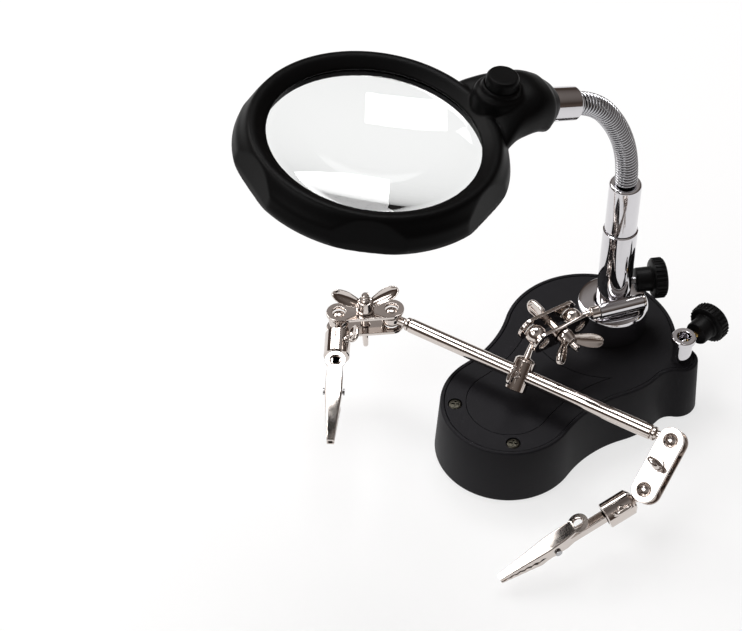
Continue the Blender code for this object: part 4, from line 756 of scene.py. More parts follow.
class Tree(Nodes):
    """A geometry node tree with named number inputs and a material."""

    def __init__(self, name, **numbers):
        super().__init__(bpy.data.node_groups.new(name, "GeometryNodeTree"))
        inputs = {"Geometry": "Geometry", **numbers, "finish": "Material"}
        self.keys = {key: self.socket(key, "INPUT", kind) for key, kind in inputs.items()}
        self.socket("Geometry", "OUTPUT", "Geometry")
        sockets = self.tree.nodes.new("NodeGroupInput").outputs
        self.given = {key: Num(self, sockets[key]) for key in inputs}

    def socket(self, name, side, kind):
        return self.tree.interface.new_socket(name, in_out=side, socket_type="NodeSocket" + kind).identifier

    def vector(self, operation, sockets):
        return self.add("ShaderNodeVectorMath", {"operation": operation}, sockets)

    def close(self, geometry):
        """Ends the tree in whole geometry with its material."""
        whole = self.add("GeometryNodeRealizeInstances", {}, {0: geometry})
        done = self.add("GeometryNodeSetMaterial", {}, {0: whole, "Material": self.given["finish"]})
        self.tree.links.new(done.socket, self.tree.nodes.new("NodeGroupOutput").inputs[0])

    def make(self, carrier, finish, **numbers):
        """Runs the tree on a carrier object and gives the plain mesh it makes."""
        step = carrier.modifiers.new("made", "NODES")
        step.node_group = self.tree
        for key, value in {**numbers, "finish": FINISHES[finish]}.items():
            step[self.keys[key]] = value
        return bake(carrier)


def wound_wire_tree():
    """Round wire wound about a path."""
    tree = Tree("wound_wire", turns="Float", coil="Float", wire="Float", steps="Int", sides="Int")
    given = tree.given
    points = {"Curve": given["Geometry"], "Count": given["turns"] * given["steps"]}
    path = tree.add("GeometryNodeResampleCurve", {}, points)
    turn = tree.add("GeometryNodeSplineParameter") * given["turns"] * (2 * math.pi)
    along = tree.add("GeometryNodeInputTangent")
    first = tree.add("GeometryNodeInputNormal")
    second = tree.vector("CROSS_PRODUCT", {0: along, 1: first})
    across = tree.vector("SCALE", {0: first, "Scale": turn.sum("COSINE", turn) * given["coil"]})
    aside = tree.vector("SCALE", {0: second, "Scale": turn.sum("SINE", turn) * given["coil"]})
    offset = tree.vector("ADD", {0: across, 1: aside})
    coil = tree.add("GeometryNodeSetPosition", {}, {"Geometry": path, "Offset": offset})
    sizes = {"Resolution": given["sides"], "Radius": given["wire"]}
    section = tree.add("GeometryNodeCurvePrimitiveCircle", {}, sizes)
    parts = {"Curve": coil, "Profile Curve": section, "Fill Caps": True}
    bar = tree.add("GeometryNodeCurveToMesh", {}, parts)
    tree.close(tree.add("GeometryNodeSetShadeSmooth", {}, {0: bar}))
    return tree


def ribbed_rim_tree():
    """Round ribs set about the rim of a knob, joined to its body."""
    tree = Tree("ribbed_rim", ribs="Int", radius="Float", rib="Float", length="Float", middle="Float")
    given = tree.given
    spots = tree.add("GeometryNodeMeshCircle", {}, {"Vertices": given["ribs"], "Radius": given["radius"]})
    lift = tree.add("ShaderNodeCombineXYZ", {}, {"Z": given["middle"]})
    raised = tree.add("GeometryNodeTransform", {}, {"Geometry": spots, "Translation": lift})
    sizes = {"Vertices": 10, "Radius": given["rib"], "Depth": given["length"]}
    rib = tree.add("GeometryNodeMeshCylinder", {}, sizes)
    ribs = tree.add("GeometryNodeInstanceOnPoints", {}, {"Points": raised, "Instance": rib})
    both = tree.add("GeometryNodeJoinGeometry")
    for part in (ribs, given["Geometry"]):
        tree.tree.links.new(part.socket, both.socket.node.inputs[0])
    tree.close(both)
    return tree


wound_wire = wound_wire_tree()
ribbed_rim = ribbed_rim_tree()


def wire_along(name, points, finish, **numbers):
    """Wire on a path through points, wound about it where it has a coil."""
    line = bpy.data.curves.new(name, "CURVE")
    line.dimensions = "3D"
    line.twist_mode = "MINIMUM"
    spline = line.splines.new("POLY")
    spline.points.add(len(points) - 1)
    for place, point in zip(spline.points, points):
        place.co = (*point, 1.0)
    return wound_wire.make(piece_from(name, line), finish, **numbers)


def thread(low, high, radius, at, finish):
    """Raised thread on a screw's shank."""
    run = [at @ Vector((0, 0, between(low, high, k / 12))) for k in range(13)]
    return wire_along("thread", run, finish, turns=(high - low) / THREAD_PITCH,
                      coil=radius - THREAD_WIRE_R, wire=THREAD_WIRE_R, steps=18, sides=6)


# Gooseneck, which bends between the neck and the head

def bent(point, lean, radius, turn):
    """Point and lean after an arc that bends towards +X."""
    inward = Vector((math.cos(lean), 0, -math.sin(lean)))
    forward = Vector((math.sin(lean), 0, math.cos(lean)))
    return point + inward * (radius * (1 - math.cos(turn))) + forward * (radius * math.sin(turn)), lean + turn


NECK_LOWER = NECK_LOWER_BEND_R * NECK_LOWER_BEND
NECK_UPPER = NECK_UPPER_BEND_R * NECK_UPPER_BEND
NECK_LENGTH = NECK_STRAIGHT + NECK_LOWER + NECK_UPPER
ferrule_high = Vector(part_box("neck_ferrule")[1]).z
neck_at = shifted(POST_X, POST_Y, ferrule_high + SEAT_GAP) @ Matrix.Rotation(NECK_HEADING, 4, "Z")


def neck_run(start, run):
    """Points along a run of the neck's middle line."""
    points = []
    for k in range(NECK_STEPS + 1):
        s = start + run * k / NECK_STEPS
        point, lean = Vector((0, 0, min(s, NECK_STRAIGHT))), 0.0
        if s > NECK_STRAIGHT:
            turn = min(s - NECK_STRAIGHT, NECK_LOWER) / NECK_LOWER_BEND_R
            point, lean = bent(point, lean, NECK_LOWER_BEND_R, turn)
        if s > NECK_STRAIGHT + NECK_LOWER:
            turn = (s - NECK_STRAIGHT - NECK_LOWER) / NECK_UPPER_BEND_R
            point, lean = bent(point, lean, NECK_UPPER_BEND_R, turn)
        points.append(neck_at @ point)
    return points


neck_line = neck_run(0.0, NECK_LENGTH)
wire_run = NECK_LENGTH - 2 * NECK_WIRE_R
wire = wire_along("gooseneck_wire", neck_run(NECK_WIRE_R, wire_run), "neck_wire", turns=wire_run / NECK_PITCH,
                  coil=NECK_R - NECK_WIRE_R, wire=NECK_WIRE_R, steps=30, sides=10)
core = wire_along("gooseneck_liner", neck_line, "black_plastic", turns=1.0, coil=0.0, wire=NECK_CORE_R,
                  steps=120, sides=24)
for piece, node in ((wire, "gooseneck"), (core, "gooseneck_core")):
    bends_for(piece, node)


# Base: two round lobes and an ear, joined by hollow fillets

def fillet_centre(a, ra, b, rb, rf):
    """Centre of a circle of radius rf that touches two circles, on the right of the way from a to b."""
    span = b - a
    d = span.length
    along = ((ra + rf) ** 2 - (rb + rf) ** 2 + d * d) / (2 * d)
    off = math.sqrt((ra + rf) ** 2 - along ** 2)
    unit = span / d
    return a + unit * along + Vector((unit.y, -unit.x)) * off


def arc(centre, radius, start_at, end_at, clockwise):
    """Points about a centre, from the bearing of one point up to, but without, that of another."""
    start, end = (math.atan2(p.y - centre.y, p.x - centre.x) for p in (start_at, end_at))
    sweep = (start - end) % (2 * math.pi) if clockwise else (end - start) % (2 * math.pi)
    steps = max(2, math.ceil(sweep / OUTLINE_STEP))
    sign = -1 if clockwise else 1
    turns = [start + sign * sweep * k / steps for k in range(steps)]
    return [(centre.x + radius * math.cos(t), centre.y + radius * math.sin(t)) for t in turns]


def base_outline(inset, ear=True):
    """The base's outline seen from above, counter-clockwise, moved inwards by an inset."""
    lobes = [(Vector((0.0, -LOBE_SPACING / 2)), FRONT_LOBE_R), (Vector((0.0, LOBE_SPACING / 2)), REAR_LOBE_R)]
    hollows = [WAIST_FILLET_R, WAIST_FILLET_R]
    if ear:
        lobes += [(Vector((EAR_X, EAR_Y)), EAR_R), lobes[1]]
        hollows = [WAIST_FILLET_R, EAR_FILLET_R, EAR_FILLET_R, WAIST_FILLET_R]
    onward = lobes[1:] + lobes[:1]
    centres = [fillet_centre(*here, *there, hollow) for here, there, hollow in zip(lobes, onward, hollows)]
    points = []
    for k, (middle, radius) in enumerate(lobes):
        points += arc(middle, radius - inset, centres[k - 1], centres[k], False)
        points += arc(centres[k], hollows[k] + inset, middle, onward[k][0], True)
    return points


def lid_block(name, inset, low, high):
    """The lid's outline between two heights; its rear edge is an arc about the post."""
    body = prism(name, base_outline(LID_INSET + inset, ear=False), low, high)
    return carved(body, rod("lid_rear", LID_REAR_R + inset, low - FAR, high + FAR, shifted(y=POST_Y), 144))


SHELL_LOW = PAD_THICK + SEAT_GAP
PLATE_TOP = BASE_HEIGHT - TOP_PLATE_SINK
PLATE_LOW = PLATE_TOP - TOP_PLATE_THICK
LEDGE = PLATE_LOW - SEAT_GAP
shell_rows = [(BASE_EDGE_ROUND / 2 - BASE_DRAFT, SHELL_LOW), (0.0001 - BASE_DRAFT, SHELL_LOW + 0.0001),
              (-BASE_DRAFT, SHELL_LOW + BASE_EDGE_ROUND / 2)]
shell_rows += [(inward * BASE_EDGE_ROUND, BASE_HEIGHT - down * BASE_EDGE_ROUND)
               for inward, down in ((0.0, 1.0), (0.06, 0.65), (0.28, 0.28), (0.65, 0.06), (1.0, 0.0))]
shell_rows += [(RIM_WALL - RIM_EDGE, BASE_HEIGHT), (RIM_WALL, BASE_HEIGHT - RIM_EDGE), (RIM_WALL, LEDGE),
               (SHELL_WALL, LEDGE), (SHELL_WALL, SHELL_LOW + SHELL_FLOOR)]
rows = [[(x, y, z) for x, y in base_outline(inset)] for inset, z in shell_rows]
stands_for(smooth(loft("base_shell_finished", rows), 30.0), "base_shell")
pad = prism("foot_pad_finished", base_outline(PAD_INSET - BASE_DRAFT), 0.0, PAD_THICK)
stands_for(rounded(pad, 0.0002), "foot_pad")

TRAY_X = 3 * CELL_R + CELL_GAP + SEAT_GAP
TRAY_FLOOR = PLATE_LOW - CELL_DROP - 2 * CELL_R - SEAT_GAP
TRAY_FRONT = CELL_FRONT_Y - TRAY_END
TRAY_BACK = CELL_FRONT_Y + CELL_LENGTH + TRAY_END
LID_LOW = PLATE_TOP - LID_THICK


def tray_block(name, wall, top):
    low = (-TRAY_X - wall, TRAY_FRONT - wall, TRAY_FLOOR - wall)
    return block(name, low, (TRAY_X + wall, TRAY_BACK + wall, top))


plate = prism("base_top_plate_finished", base_outline(RIM_WALL + SEAT_GAP), PLATE_LOW, PLATE_TOP)
plate = carved(plate, tray_block("tray", TRAY_WALL, PLATE_LOW + 2 * TRAY_LAP), way="UNION")
plate = carved(plate, tray_block("hollow", 0.0, PLATE_LOW + TRAY_LAP),
               lid_block("way_in", LID_LEDGE, PLATE_LOW - TRAY_LAP, PLATE_TOP + PAST),
               lid_block("lid_seat", -RUN_GAP, LID_LOW - SEAT_GAP, PLATE_TOP + PAST))
SCREW_LOW = PLATE_TOP - PLATE_SCREW_HEAD_H
# A screw's head from its foot to its crown: shares of its radius and of its height
SCREW_DOME = ((0.0, 0.0), (1.0, 0.0), (1.0, 0.55), (0.93, 0.80), (0.75, 1.0), (0.40, 1.12), (0.0, 1.15))
for node in ("plate_screw_1", "plate_screw_2"):
    spot = Matrix.Translation(middle_of(node).xy.to_3d())
    sink = rod("sink", PLATE_SCREW_HEAD_R + SEAT_GAP, SCREW_LOW - SEAT_GAP, PLATE_TOP + PAST, spot)
    plate = carved(plate, sink)
    dome = [(r * PLATE_SCREW_HEAD_R, z * PLATE_SCREW_HEAD_H) for r, z in SCREW_DOME]
    screw = lathe(node + "_finished", dome, spot @ shifted(z=SCREW_LOW), 48)
    reach, half, deep = 0.62 * PLATE_SCREW_HEAD_R, PLATE_SCREW_SLOT / 2, SCREW_LOW + 0.45 * PLATE_SCREW_HEAD_H
    for turn in (0.0, math.pi / 2):
        slot = block("slot", (-reach, -half, deep), (reach, half, deep + 0.004))
        slot.data.transform(spot @ Matrix.Rotation(turn + PLATE_SCREW_TURN, 4, "Z"))
        screw = carved(screw, slot)
    stands_for(rounded(screw, 0.00008), node)
stands_for(rounded(plate, 0.00025), "base_top_plate")
stands_for(rounded(lid_block("battery_lid_finished", 0.0, LID_LOW, PLATE_TOP), 0.0002), "battery_lid")

# Post, collar, ferrules, socket and lock screws
post_at = shifted(POST_X, POST_Y)
turn_again("post_collar", post_at, 0.0004, sides=120)
stub_at = along_joint("stub_spin")
if (middle_of("post_tube") - stub_at.translation).dot(stub_at.col[2].xyz) > 0:
    stub_at = axes(stub_at.translation, -stub_at.col[2].xyz)
tube = lathe("post_tube_finished", [
    (POST_R - POST_WALL, POST_FOOT), (POST_R, POST_FOOT), (POST_R, POST_TOP - POST_EDGE),
    (POST_R - POST_EDGE, POST_TOP), (POST_R - POST_WALL, POST_TOP),
], post_at, 96)
tube = carved(tube, rod("barrel", BARREL_R, -BARREL_LENGTH, 0.0, stub_at), way="UNION")
lock_at = axes((POST_X, POST_Y, pivot_of("post_lock").z), way_of("post_lock_slide"))
tube = carved(tube, rod("bore", POST_BORE_R, POST_FOOT - FAR, POST_TOP + FAR, post_at, 96),
              rod("barrel_bore", BARREL_BORE_R, -3 * FAR, FAR, stub_at),
              rod("lock_hole", LOCK_SCREW_R + RUN_GAP, LOCK_HOLE_FROM, LOCK_HOLE_TO, lock_at))
stands_for(rounded(tube, 0.00025), "post_tube")
turn_again("neck_ferrule", post_at, 0.0003, sides=96)
neck_lean = NECK_LOWER_BEND + NECK_UPPER_BEND
neck_way = neck_at.to_3x3() @ Vector((math.sin(neck_lean), 0, math.cos(neck_lean)))
turn_again("head_ferrule", axes(neck_line[-1], neck_way), 0.0003, sides=96)
socket_hole_at = axes((EAR_X, EAR_Y, pivot_of("socket_lock").z), way_of("socket_lock_slide"))
socket_hole = rod("socket_hole", SOCKET_SCREW_R + RUN_GAP, SOCKET_BORE_R - PAST, SOCKET_HOLE_TO,
                  socket_hole_at)
turn_again("iron_socket", shifted(EAR_X, EAR_Y), cuts=[socket_hole])

for node, joint, radius in (("post_lock_screw", "post_lock", LOCK_SCREW_R),
                            ("socket_screw", "socket_lock", SOCKET_SCREW_R)):
    at = along_joint(joint)
    profile = profile_of(node, at)
    low, high = min(z for r, z in profile), max(z for r, z in profile)
    shank = lathe(node + "_shank", [(max(0.0, r - 0.5 * THREAD_WIRE_R), z) for r, z in profile], at, 36)
    ridge = thread(low + 0.0006, high - 0.0003, radius, at, FINISH_OF[node])
    stands_for(smooth(together(node + "_finished", shank, ridge), 40.0), node)

# Head: ring with thumb grips, handle and button boss under one skin
up = way_of("switch_press")
if up.z < 0:
    up = -up
lens_middle = middle_of("lens")
lens_at = axes(lens_middle, up)
towards = lens_middle - heart_of("switch_button")
towards = (towards - up * towards.dot(up)).normalized()
HANDLE_MEETS = HEAD_FERRULE_LENGTH + 2 * SEAT_GAP
HANDLE_START = HANDLE_MEETS * math.cos(HEAD_TILT)
HANDLE_START_Z = HANDLE_MEETS * math.sin(HEAD_TILT) - HEAD_RISE
RING_R = LENS_R + RING_WALL
RING_RIM = RING_R - RING_RIM_IN
RING_NEAR = HANDLE_START + HANDLE_LENGTH
LENS_REACH = RING_NEAR + RING_R
LENS_MIDDLE_Z = -RING_LIP_THICK - SEAT_GAP - LENS_EDGE / 2
head_at = axes(lens_middle - towards * LENS_REACH - up * LENS_MIDDLE_Z, up, towards)
RING_BORE_R = LENS_R + SEAT_GAP
RING_OPEN_R = LENS_R - RING_LIP
RING_CREST_R = LENS_R + RING_CREST_OUT
RING_WIDEST = -0.66 * RING_DEPTH
CREST_SPAN = RING_RIM - RING_CREST_R
crown = curve_through([
    (RING_OPEN_R, 0.0),
    (RING_OPEN_R + 0.62 * (RING_CREST_R - RING_OPEN_R), 0.84 * RING_CREST_RISE),
    (RING_CREST_R, RING_CREST_RISE),
    (RING_CREST_R + 0.26 * CREST_SPAN, 0.74 * RING_CREST_RISE),
    (RING_CREST_R + 0.58 * CREST_SPAN, -0.08 * RING_DEPTH),
    (RING_CREST_R + 0.80 * CREST_SPAN, -0.25 * RING_DEPTH),
    (RING_RIM - 0.0006, -0.42 * RING_DEPTH),
    (RING_RIM, RING_WIDEST),
    (RING_RIM - 0.30 * RING_FOOT_IN, -0.88 * RING_DEPTH),
    (RING_RIM - RING_FOOT_IN, -RING_DEPTH),
], 5)
inside = [(RING_BORE_R, -RING_DEPTH), (RING_BORE_R, -RING_LIP_THICK), (RING_OPEN_R, -RING_LIP_THICK)]
ring_rows = []
for k in range(RING_COLUMNS):
    angle = 2 * math.pi * k / RING_COLUMNS
    off = (angle + GRIP_SPACING / 2) % GRIP_SPACING - GRIP_SPACING / 2
    section = inside + crown
    if abs(angle - math.pi) > GRIP_SPACING / 2:
        scoop = GRIP_SCOOP * max(0.0, 1.0 - (off / GRIP_HALF) ** 2)
        near = RING_R - GRIP_DEPTH - scoop
        flats = [near - math.tan(GRIP_LEAN) * max(0.0, z - RING_WIDEST) for r, z in crown]
        section = inside + [(min(r, flat / math.cos(off)) if r > RING_CREST_R else r, z)
                            for (r, z), flat in zip(crown, flats)]
    c, s = math.cos(angle), math.sin(angle)
    ring_rows.append([(LENS_REACH + r * c, r * s, z) for r, z in section])

# Each section of the handle: place, height, half width, half height, and how far it leans with the ferrule
H, W = HANDLE_HALF_HEIGHT, HANDLE_HALF_WIDTH
handle_sections = curve_through([
    (HANDLE_START, HANDLE_START_Z, HANDLE_END_R, HANDLE_END_R, HEAD_TILT),
    (HANDLE_START + 0.06 * HANDLE_LENGTH, between(HANDLE_START_Z, -HANDLE_SINK, 0.15), 0.68 * W, 0.86 * H,
     HEAD_TILT),
    (HANDLE_START + 0.21 * HANDLE_LENGTH, between(HANDLE_START_Z, -HANDLE_SINK, 0.50), 0.88 * W, 0.98 * H,
     0.5 * HEAD_TILT),
    (HANDLE_START + 0.45 * HANDLE_LENGTH, -HANDLE_SINK, W, H, 0.0),
    (HANDLE_START + 0.72 * HANDLE_LENGTH, -0.5 * HANDLE_SINK, 1.12 * W, 0.93 * H, 0.0),
    (RING_NEAR - 0.06 * HANDLE_LENGTH, -HANDLE_SINK, 1.24 * W, 0.88 * H, 0.0),
    (RING_NEAR + 0.45 * RING_WALL, between(-HANDLE_SINK, -HANDLE_ROOT_SINK, 0.55),
     0.94 * HANDLE_ROOT_HALF_WIDTH, 0.71 * H, 0.0),
    (RING_NEAR + 0.78 * RING_WALL, -HANDLE_ROOT_SINK, HANDLE_ROOT_HALF_WIDTH, 0.56 * H, 0.0),
], 4)


def squared(wave):
    return math.copysign(abs(wave) ** HANDLE_SQUARENESS, wave)


handle_rows = []
for x, z, half_width, half_height, lean in handle_sections:
    drop = HANDLE_STEP_DROP if x < HANDLE_START + HANDLE_STEP else 0.0
    row = []
    for k in range(HANDLE_SIDES):
        turn = 2 * math.pi * k / HANDLE_SIDES
        rise = (half_height - drop) * squared(math.sin(turn))
        across = (half_width - drop) * squared(math.cos(turn))
        row.append((x - rise * math.sin(lean), across, z + rise * math.cos(lean)))
    handle_rows.append(row)
boss_at = head_at @ shifted(RING_NEAR - BUTTON_FROM_RING)
# The boss from its foot to its top: what is added to its radius, and shares of its height
BOSS_STEPS = ((0.0020, 0.0), (0.0012, 0.62), (0.0006, 0.76), (-0.0002, 0.81), (-0.0012, 0.82),
              (-0.0013, 0.92), (-0.0018, 1.0))
boss_profile = [(BUTTON_BOSS_R + out, share * BUTTON_BOSS_TOP) for out, share in BOSS_STEPS]
boss = lathe("boss", [(0.0, 0.0)] + boss_profile + [(0.0, BUTTON_BOSS_TOP)], boss_at)
ring = loft("ring", ring_rows, head_at, hoop=True)
handle = loft("handle", handle_rows, head_at)
head = skinned(together("head_frame_finished", ring, handle, boss), HEAD_VOXEL, 3)
head = carved(head, rod("pocket", BUTTON_R + RUN_GAP, BUTTON_POCKET, BUTTON_BOSS_TOP + 0.004, boss_at, 64),
              rod("lens_seat", RING_BORE_R + 0.0002, -RING_DEPTH - 0.002, -RING_LIP_THICK,
                  head_at @ shifted(LENS_REACH), 192))
stands_for(smooth(head, 50.0), "head_frame")
turn_again("switch_button", boss_at, 0.0008)
turn_again("lens_retainer", lens_at, sides=128)

dome = []
for k in range(LENS_RINGS + 1):
    left = 1 - k / LENS_RINGS
    dome.append(((RING_OPEN_R - 0.0005) * left, LENS_EDGE / 2 + LENS_CROWN * (1 - left ** 2)))
profile = [(r, -z) for r, z in reversed(dome)] + [(LENS_R, -LENS_EDGE / 2), (LENS_R, LENS_EDGE / 2)] + dome
stands_for(smooth(lathe("lens_finished", profile, lens_at, 144), 30.0), "lens")

# Knobs: a ribbed disc on a neck. Each row of steps is what is added to a radius and to a height
NECK_FOOT = ((-0.0008, 0.0), (-0.0003, 0.0002), (0.0, 0.0008))
NECK_HEAD = ((0.0, -0.0006), (0.0006, 0.0))
DISC_FOOT = ((-0.0007, 0.0002), (-0.0002, 0.0005), (0.0, 0.0010))
DISC_TOP = ((0.0, -0.0010), (-0.0003, -0.0004), (-0.0010, 0.0), (-0.0022, 0.0), (-0.0026, -0.0004))
KNOB_DISH = 0.0005
for node, joint in (("post_lock_knob", "post_lock"), ("socket_knob", "socket_lock")):
    reach = [(v.co - pivot_of(joint)).dot(way_of(joint)) for v in NODES[node].data.vertices]
    low, high = min(reach), max(reach)
    disc = high - KNOB_DISC_THICK
    body_r = KNOB_R - KNOB_RIB_R
    profile = [(0.0, low)]
    for radius, level, steps in ((KNOB_NECK_R, low, NECK_FOOT), (KNOB_NECK_R, disc, NECK_HEAD),
                                 (body_r, disc, DISC_FOOT), (body_r, high, DISC_TOP)):
        profile += [(radius + out, level + rise) for out, rise in steps]
    profile.append((0.0, high - KNOB_DISH))
    body = lathe(node + "_finished", profile, sides=96)
    made = ribbed_rim.make(body, "knob", ribs=KNOB_RIBS, radius=body_r, rib=KNOB_RIB_R,
                           length=KNOB_DISC_THICK - 0.0020, middle=(disc + high) / 2)
    made.data.transform(along_joint(joint))
    stands_for(smooth(made, 34.0), node)

# Double-ball clamps: two plates, a screw with a finger tab, and a wing nut
PLATE_OUT = PLATE_HALF_GAP + PLATE_THICK
NUT_LOW = PLATE_OUT + SEAT_GAP
NUT_HIGH = NUT_LOW + NUT_HUB_LENGTH
SCREW_HOLE_R = CLAMP_SCREW_R + RUN_GAP


def finger_tab(name, outline, half, hollow, at):
    """Flat tab with a round edge and a shallow hollow in each face."""
    middle = Vector([sum(side) / len(outline) for side in zip(*outline)])
    rise = [(0.10, half - hollow), (0.45, half - 0.9 * hollow), (0.66, half - 0.35 * hollow), (0.78, half),
            (0.88, 0.95 * half), (0.96, 0.70 * half), (1.0, 0.28 * half)]
    rows = []
    for share, z in rise + [(share, -z) for share, z in reversed(rise)]:
        rows.append([(between(middle.x, x, share), between(middle.y, y, share), z) for x, y in outline])
    return loft(name, rows, at)


def clamp_plate(node, low, at):
    half = BALL_SPACING / 2
    body = prism(node + "_finished", stadium(-half, half, PLATE_END_R), low, low + PLATE_THICK, at)
    for x, radius in ((-half, BALL_HOLE_R), (0.0, SCREW_HOLE_R), (half, BALL_HOLE_R)):
        body = carved(body, rod("hole", radius, low - PAST, low + PLATE_THICK + PAST, at @ shifted(x)))
    stands_for(rounded(body, 0.0003, 3), node)


def clamp_screw(node, turn, at):
    """Threaded shank with a finger tab, which is turned about the shank."""
    top = -PLATE_OUT - SEAT_GAP
    low = top - CLAMP_COLLAR_LENGTH
    tail = NUT_HIGH + CLAMP_SCREW_TAIL
    thin = CLAMP_SCREW_R - THREAD_WIRE_R
    shank = lathe("shank", [
        (0.0, low), (CLAMP_COLLAR_R - SMALL_EDGE, low), (CLAMP_COLLAR_R, low + SMALL_EDGE),
        (CLAMP_COLLAR_R, top - SMALL_EDGE), (CLAMP_COLLAR_R - SMALL_EDGE, top), (CLAMP_SCREW_R, top),
        (CLAMP_SCREW_R, NUT_HIGH), (thin, NUT_HIGH), (thin, tail - TIP_EDGE), (thin - TIP_EDGE, tail),
        (0.0, tail),
    ], at, 48)
    outline = stadium(SPADE_HALF_WIDTH - SPADE_LENGTH, 0.0, SPADE_HALF_WIDTH)
    spade_at = at @ Matrix.Rotation(turn, 4, "Z") @ axes((0, 0, low - 0.8 * SPADE_HALF_WIDTH), (1, 0, 0), UP)
    spade = finger_tab("spade", outline, SPADE_THICK / 2, SPADE_HOLLOW, spade_at)
    ridge = thread(NUT_HIGH, tail - TIP_EDGE, CLAMP_SCREW_R, at, "nickel_plate")
    stands_for(smooth(together(node + "_finished", shank, spade, ridge), 40.0), node)


# Outline of a wing from root to tip: share of its length, share of its half width
WING_MARKS = [(0.0, 0.55), (0.22, 0.78), (0.52, 1.0), (0.80, 0.92), (0.95, 0.58), (1.0, 0.30)]
WING_SHAPE = curve_through(WING_MARKS, 5)


def wing(way, hollow, at):
    """Spoon-shaped wing that leaves the hub along +X or -X and turns its hollow face up and to one side."""
    root = Vector((WING_ROOT, 0, NUT_LOW + WING_HALF_WIDTH + WING_LIFT))
    along = Vector((math.cos(WING_RISE), 0, math.sin(WING_RISE)))
    upright = Vector((-math.sin(WING_RISE), 0, math.cos(WING_RISE)))
    width = Vector((0, math.cos(WING_TURN), 0)) + upright * math.sin(WING_TURN)
    face = along.cross(width)
    rows = []
    for share, half in WING_SHAPE:
        middle = root + along * (WING_REACH + WING_HALF_WIDTH) * share
        row = []
        for side in (1, -1):
            for k in range(11):
                t = (k / 5 - 1) * side
                thick = side * WING_THICK / 2 * math.sqrt(1.0 - 0.75 * t ** 4)
                dish = WING_SCOOP * half * (2 * t ** 2 - 1)
                point = middle + width * (WING_HALF_WIDTH * half * t) + face * (dish + thick)
                row.append((way * point.x, hollow * point.y, point.z))
        rows.append(row)
    return loft("wing", rows, at)


def wing_nut(node, hollow, at):
    hub = lathe("hub", [
        (0.0, NUT_LOW), (NUT_HUB_R - SMALL_EDGE, NUT_LOW), (NUT_HUB_R, NUT_LOW + SMALL_EDGE),
        (NUT_HUB_R, NUT_LOW + NUT_HUB_SKIRT), (0.78 * NUT_HUB_R, NUT_HIGH), (0.0, NUT_HIGH),
    ], at, 48)
    body = together(node + "_finished", hub, wing(1, hollow, at), wing(-1, hollow, at))
    hole = rod("hole", SCREW_HOLE_R, NUT_LOW - FAR / 2, NUT_HIGH + 2 * FAR, at)
    stands_for(smooth(carved(skinned(body, NUT_VOXEL, 4), hole), 45.0), node)


for word, inner, outer, hollow, tab_turn in (("centre", "swing_a", "swing_b", 1, 0.0),
                                             ("left", "swing_inner", "swing_outer", -1, 0.0),
                                             ("right", "swing_inner", "swing_outer", -1, RIGHT_TAB_TURN)):
    inner, outer = (pivot_of(word + "_" + name) for name in (inner, outer))
    normal = middle_of(word + "_plate_upper") - middle_of(word + "_plate_lower")
    middle = (inner + outer) / 2
    at = axes(middle, normal, outer - inner)
    clamp_plate(word + "_plate_upper", PLATE_HALF_GAP, at)
    clamp_plate(word + "_plate_lower", -PLATE_OUT, at)
    below = (middle_of(word + "_wing_nut") - middle).dot(normal) < 0
    screw_at = at @ Matrix.Rotation(math.pi if below else 0.0, 4, "X")
    clamp_screw(word + "_clamp_screw", tab_turn, screw_at)
    wing_nut(word + "_wing_nut", hollow, screw_at)

# Stub, rod and rod holder
turn_again("arm_stub", stub_at, ball_at=(pivot_of("centre_swing_a") - stub_at.translation).length)
rod_at = axes(pivot_of("rod_thumbscrew_turn"), way_of("rod_slide"))
turn_again("cross_rod", rod_at)


def thumbscrew(node, at, tip):
    """Threaded shank and a two-lobed finger tab."""
    reach = tip + THUMB_SHANK
    thin = THUMB_R - THREAD_WIRE_R
    shank = lathe("shank", [(0.0, tip), (0.7 * thin, tip), (thin, tip + 0.0004), (thin, reach + PAST),
                            (0.0, reach + PAST)], at, 36)
    spread = THUMB_TAB_HALF_WIDTH - THUMB_TAB_HALF_HEIGHT
    outline = stadium(-spread, spread, THUMB_TAB_HALF_HEIGHT)
    pinched = [(x, y * (1 - 0.30 * max(0.0, 1 - abs(x) / spread))) for x, y in outline]
    tab_at = at @ axes((0, 0, reach + 0.75 * THUMB_TAB_HALF_HEIGHT), (0, 1, 0), (1, 0, 0))
    tab = finger_tab("tab", pinched, THUMB_TAB_THICK / 2, THUMB_TAB_HOLLOW, tab_at)
    ridge = thread(tip + 0.0005, reach, THUMB_R, at, "nickel_plate")
    stands_for(smooth(together(node + "_finished", shank, tab, ridge), 40.0), node)


holder_way = pivot_of("rod_thumbscrew_turn") - pivot_of("centre_swing_b")
rod_thumb_at = along_joint("rod_thumbscrew_turn", holder_way)
rod_cuts = [rod("rod_hole", ROD_R + RUN_GAP, -FAR, FAR, rod_at),
            rod("thumb_hole", THUMB_R + RUN_GAP, PAST, FAR, rod_thumb_at)]
turn_again("rod_holder", axes(pivot_of("centre_swing_b"), holder_way), ball_at=0.0, cuts=rod_cuts)
thumbscrew("rod_thumbscrew", rod_thumb_at, ROD_R + SEAT_GAP)

# Clips, in their own frame: X towards the tip, Y along the pivot pin
EAR_SLOPE = math.atan2(EAR_RISE - JAW_TIP_HEIGHT, JAW_LENGTH + EAR_REACH)
SQUARE = Vector((math.sin(EAR_SLOPE), 0, math.cos(EAR_SLOPE)))
FIXED_HALF_WIDTH = JAW_HALF_WIDTH - JAW_SHEET - 0.0004
TAIL_LOW = -CLIP_DROP - CLIP_TAIL_HALF
TAIL_HIGH = -CLIP_DROP + CLIP_TAIL_HALF


def top_line(x):
    """Height of the moving jaw's top, which is one plane from its ear to its tip."""
    return JAW_TIP_HEIGHT + (JAW_LENGTH - x) * math.tan(EAR_SLOPE)


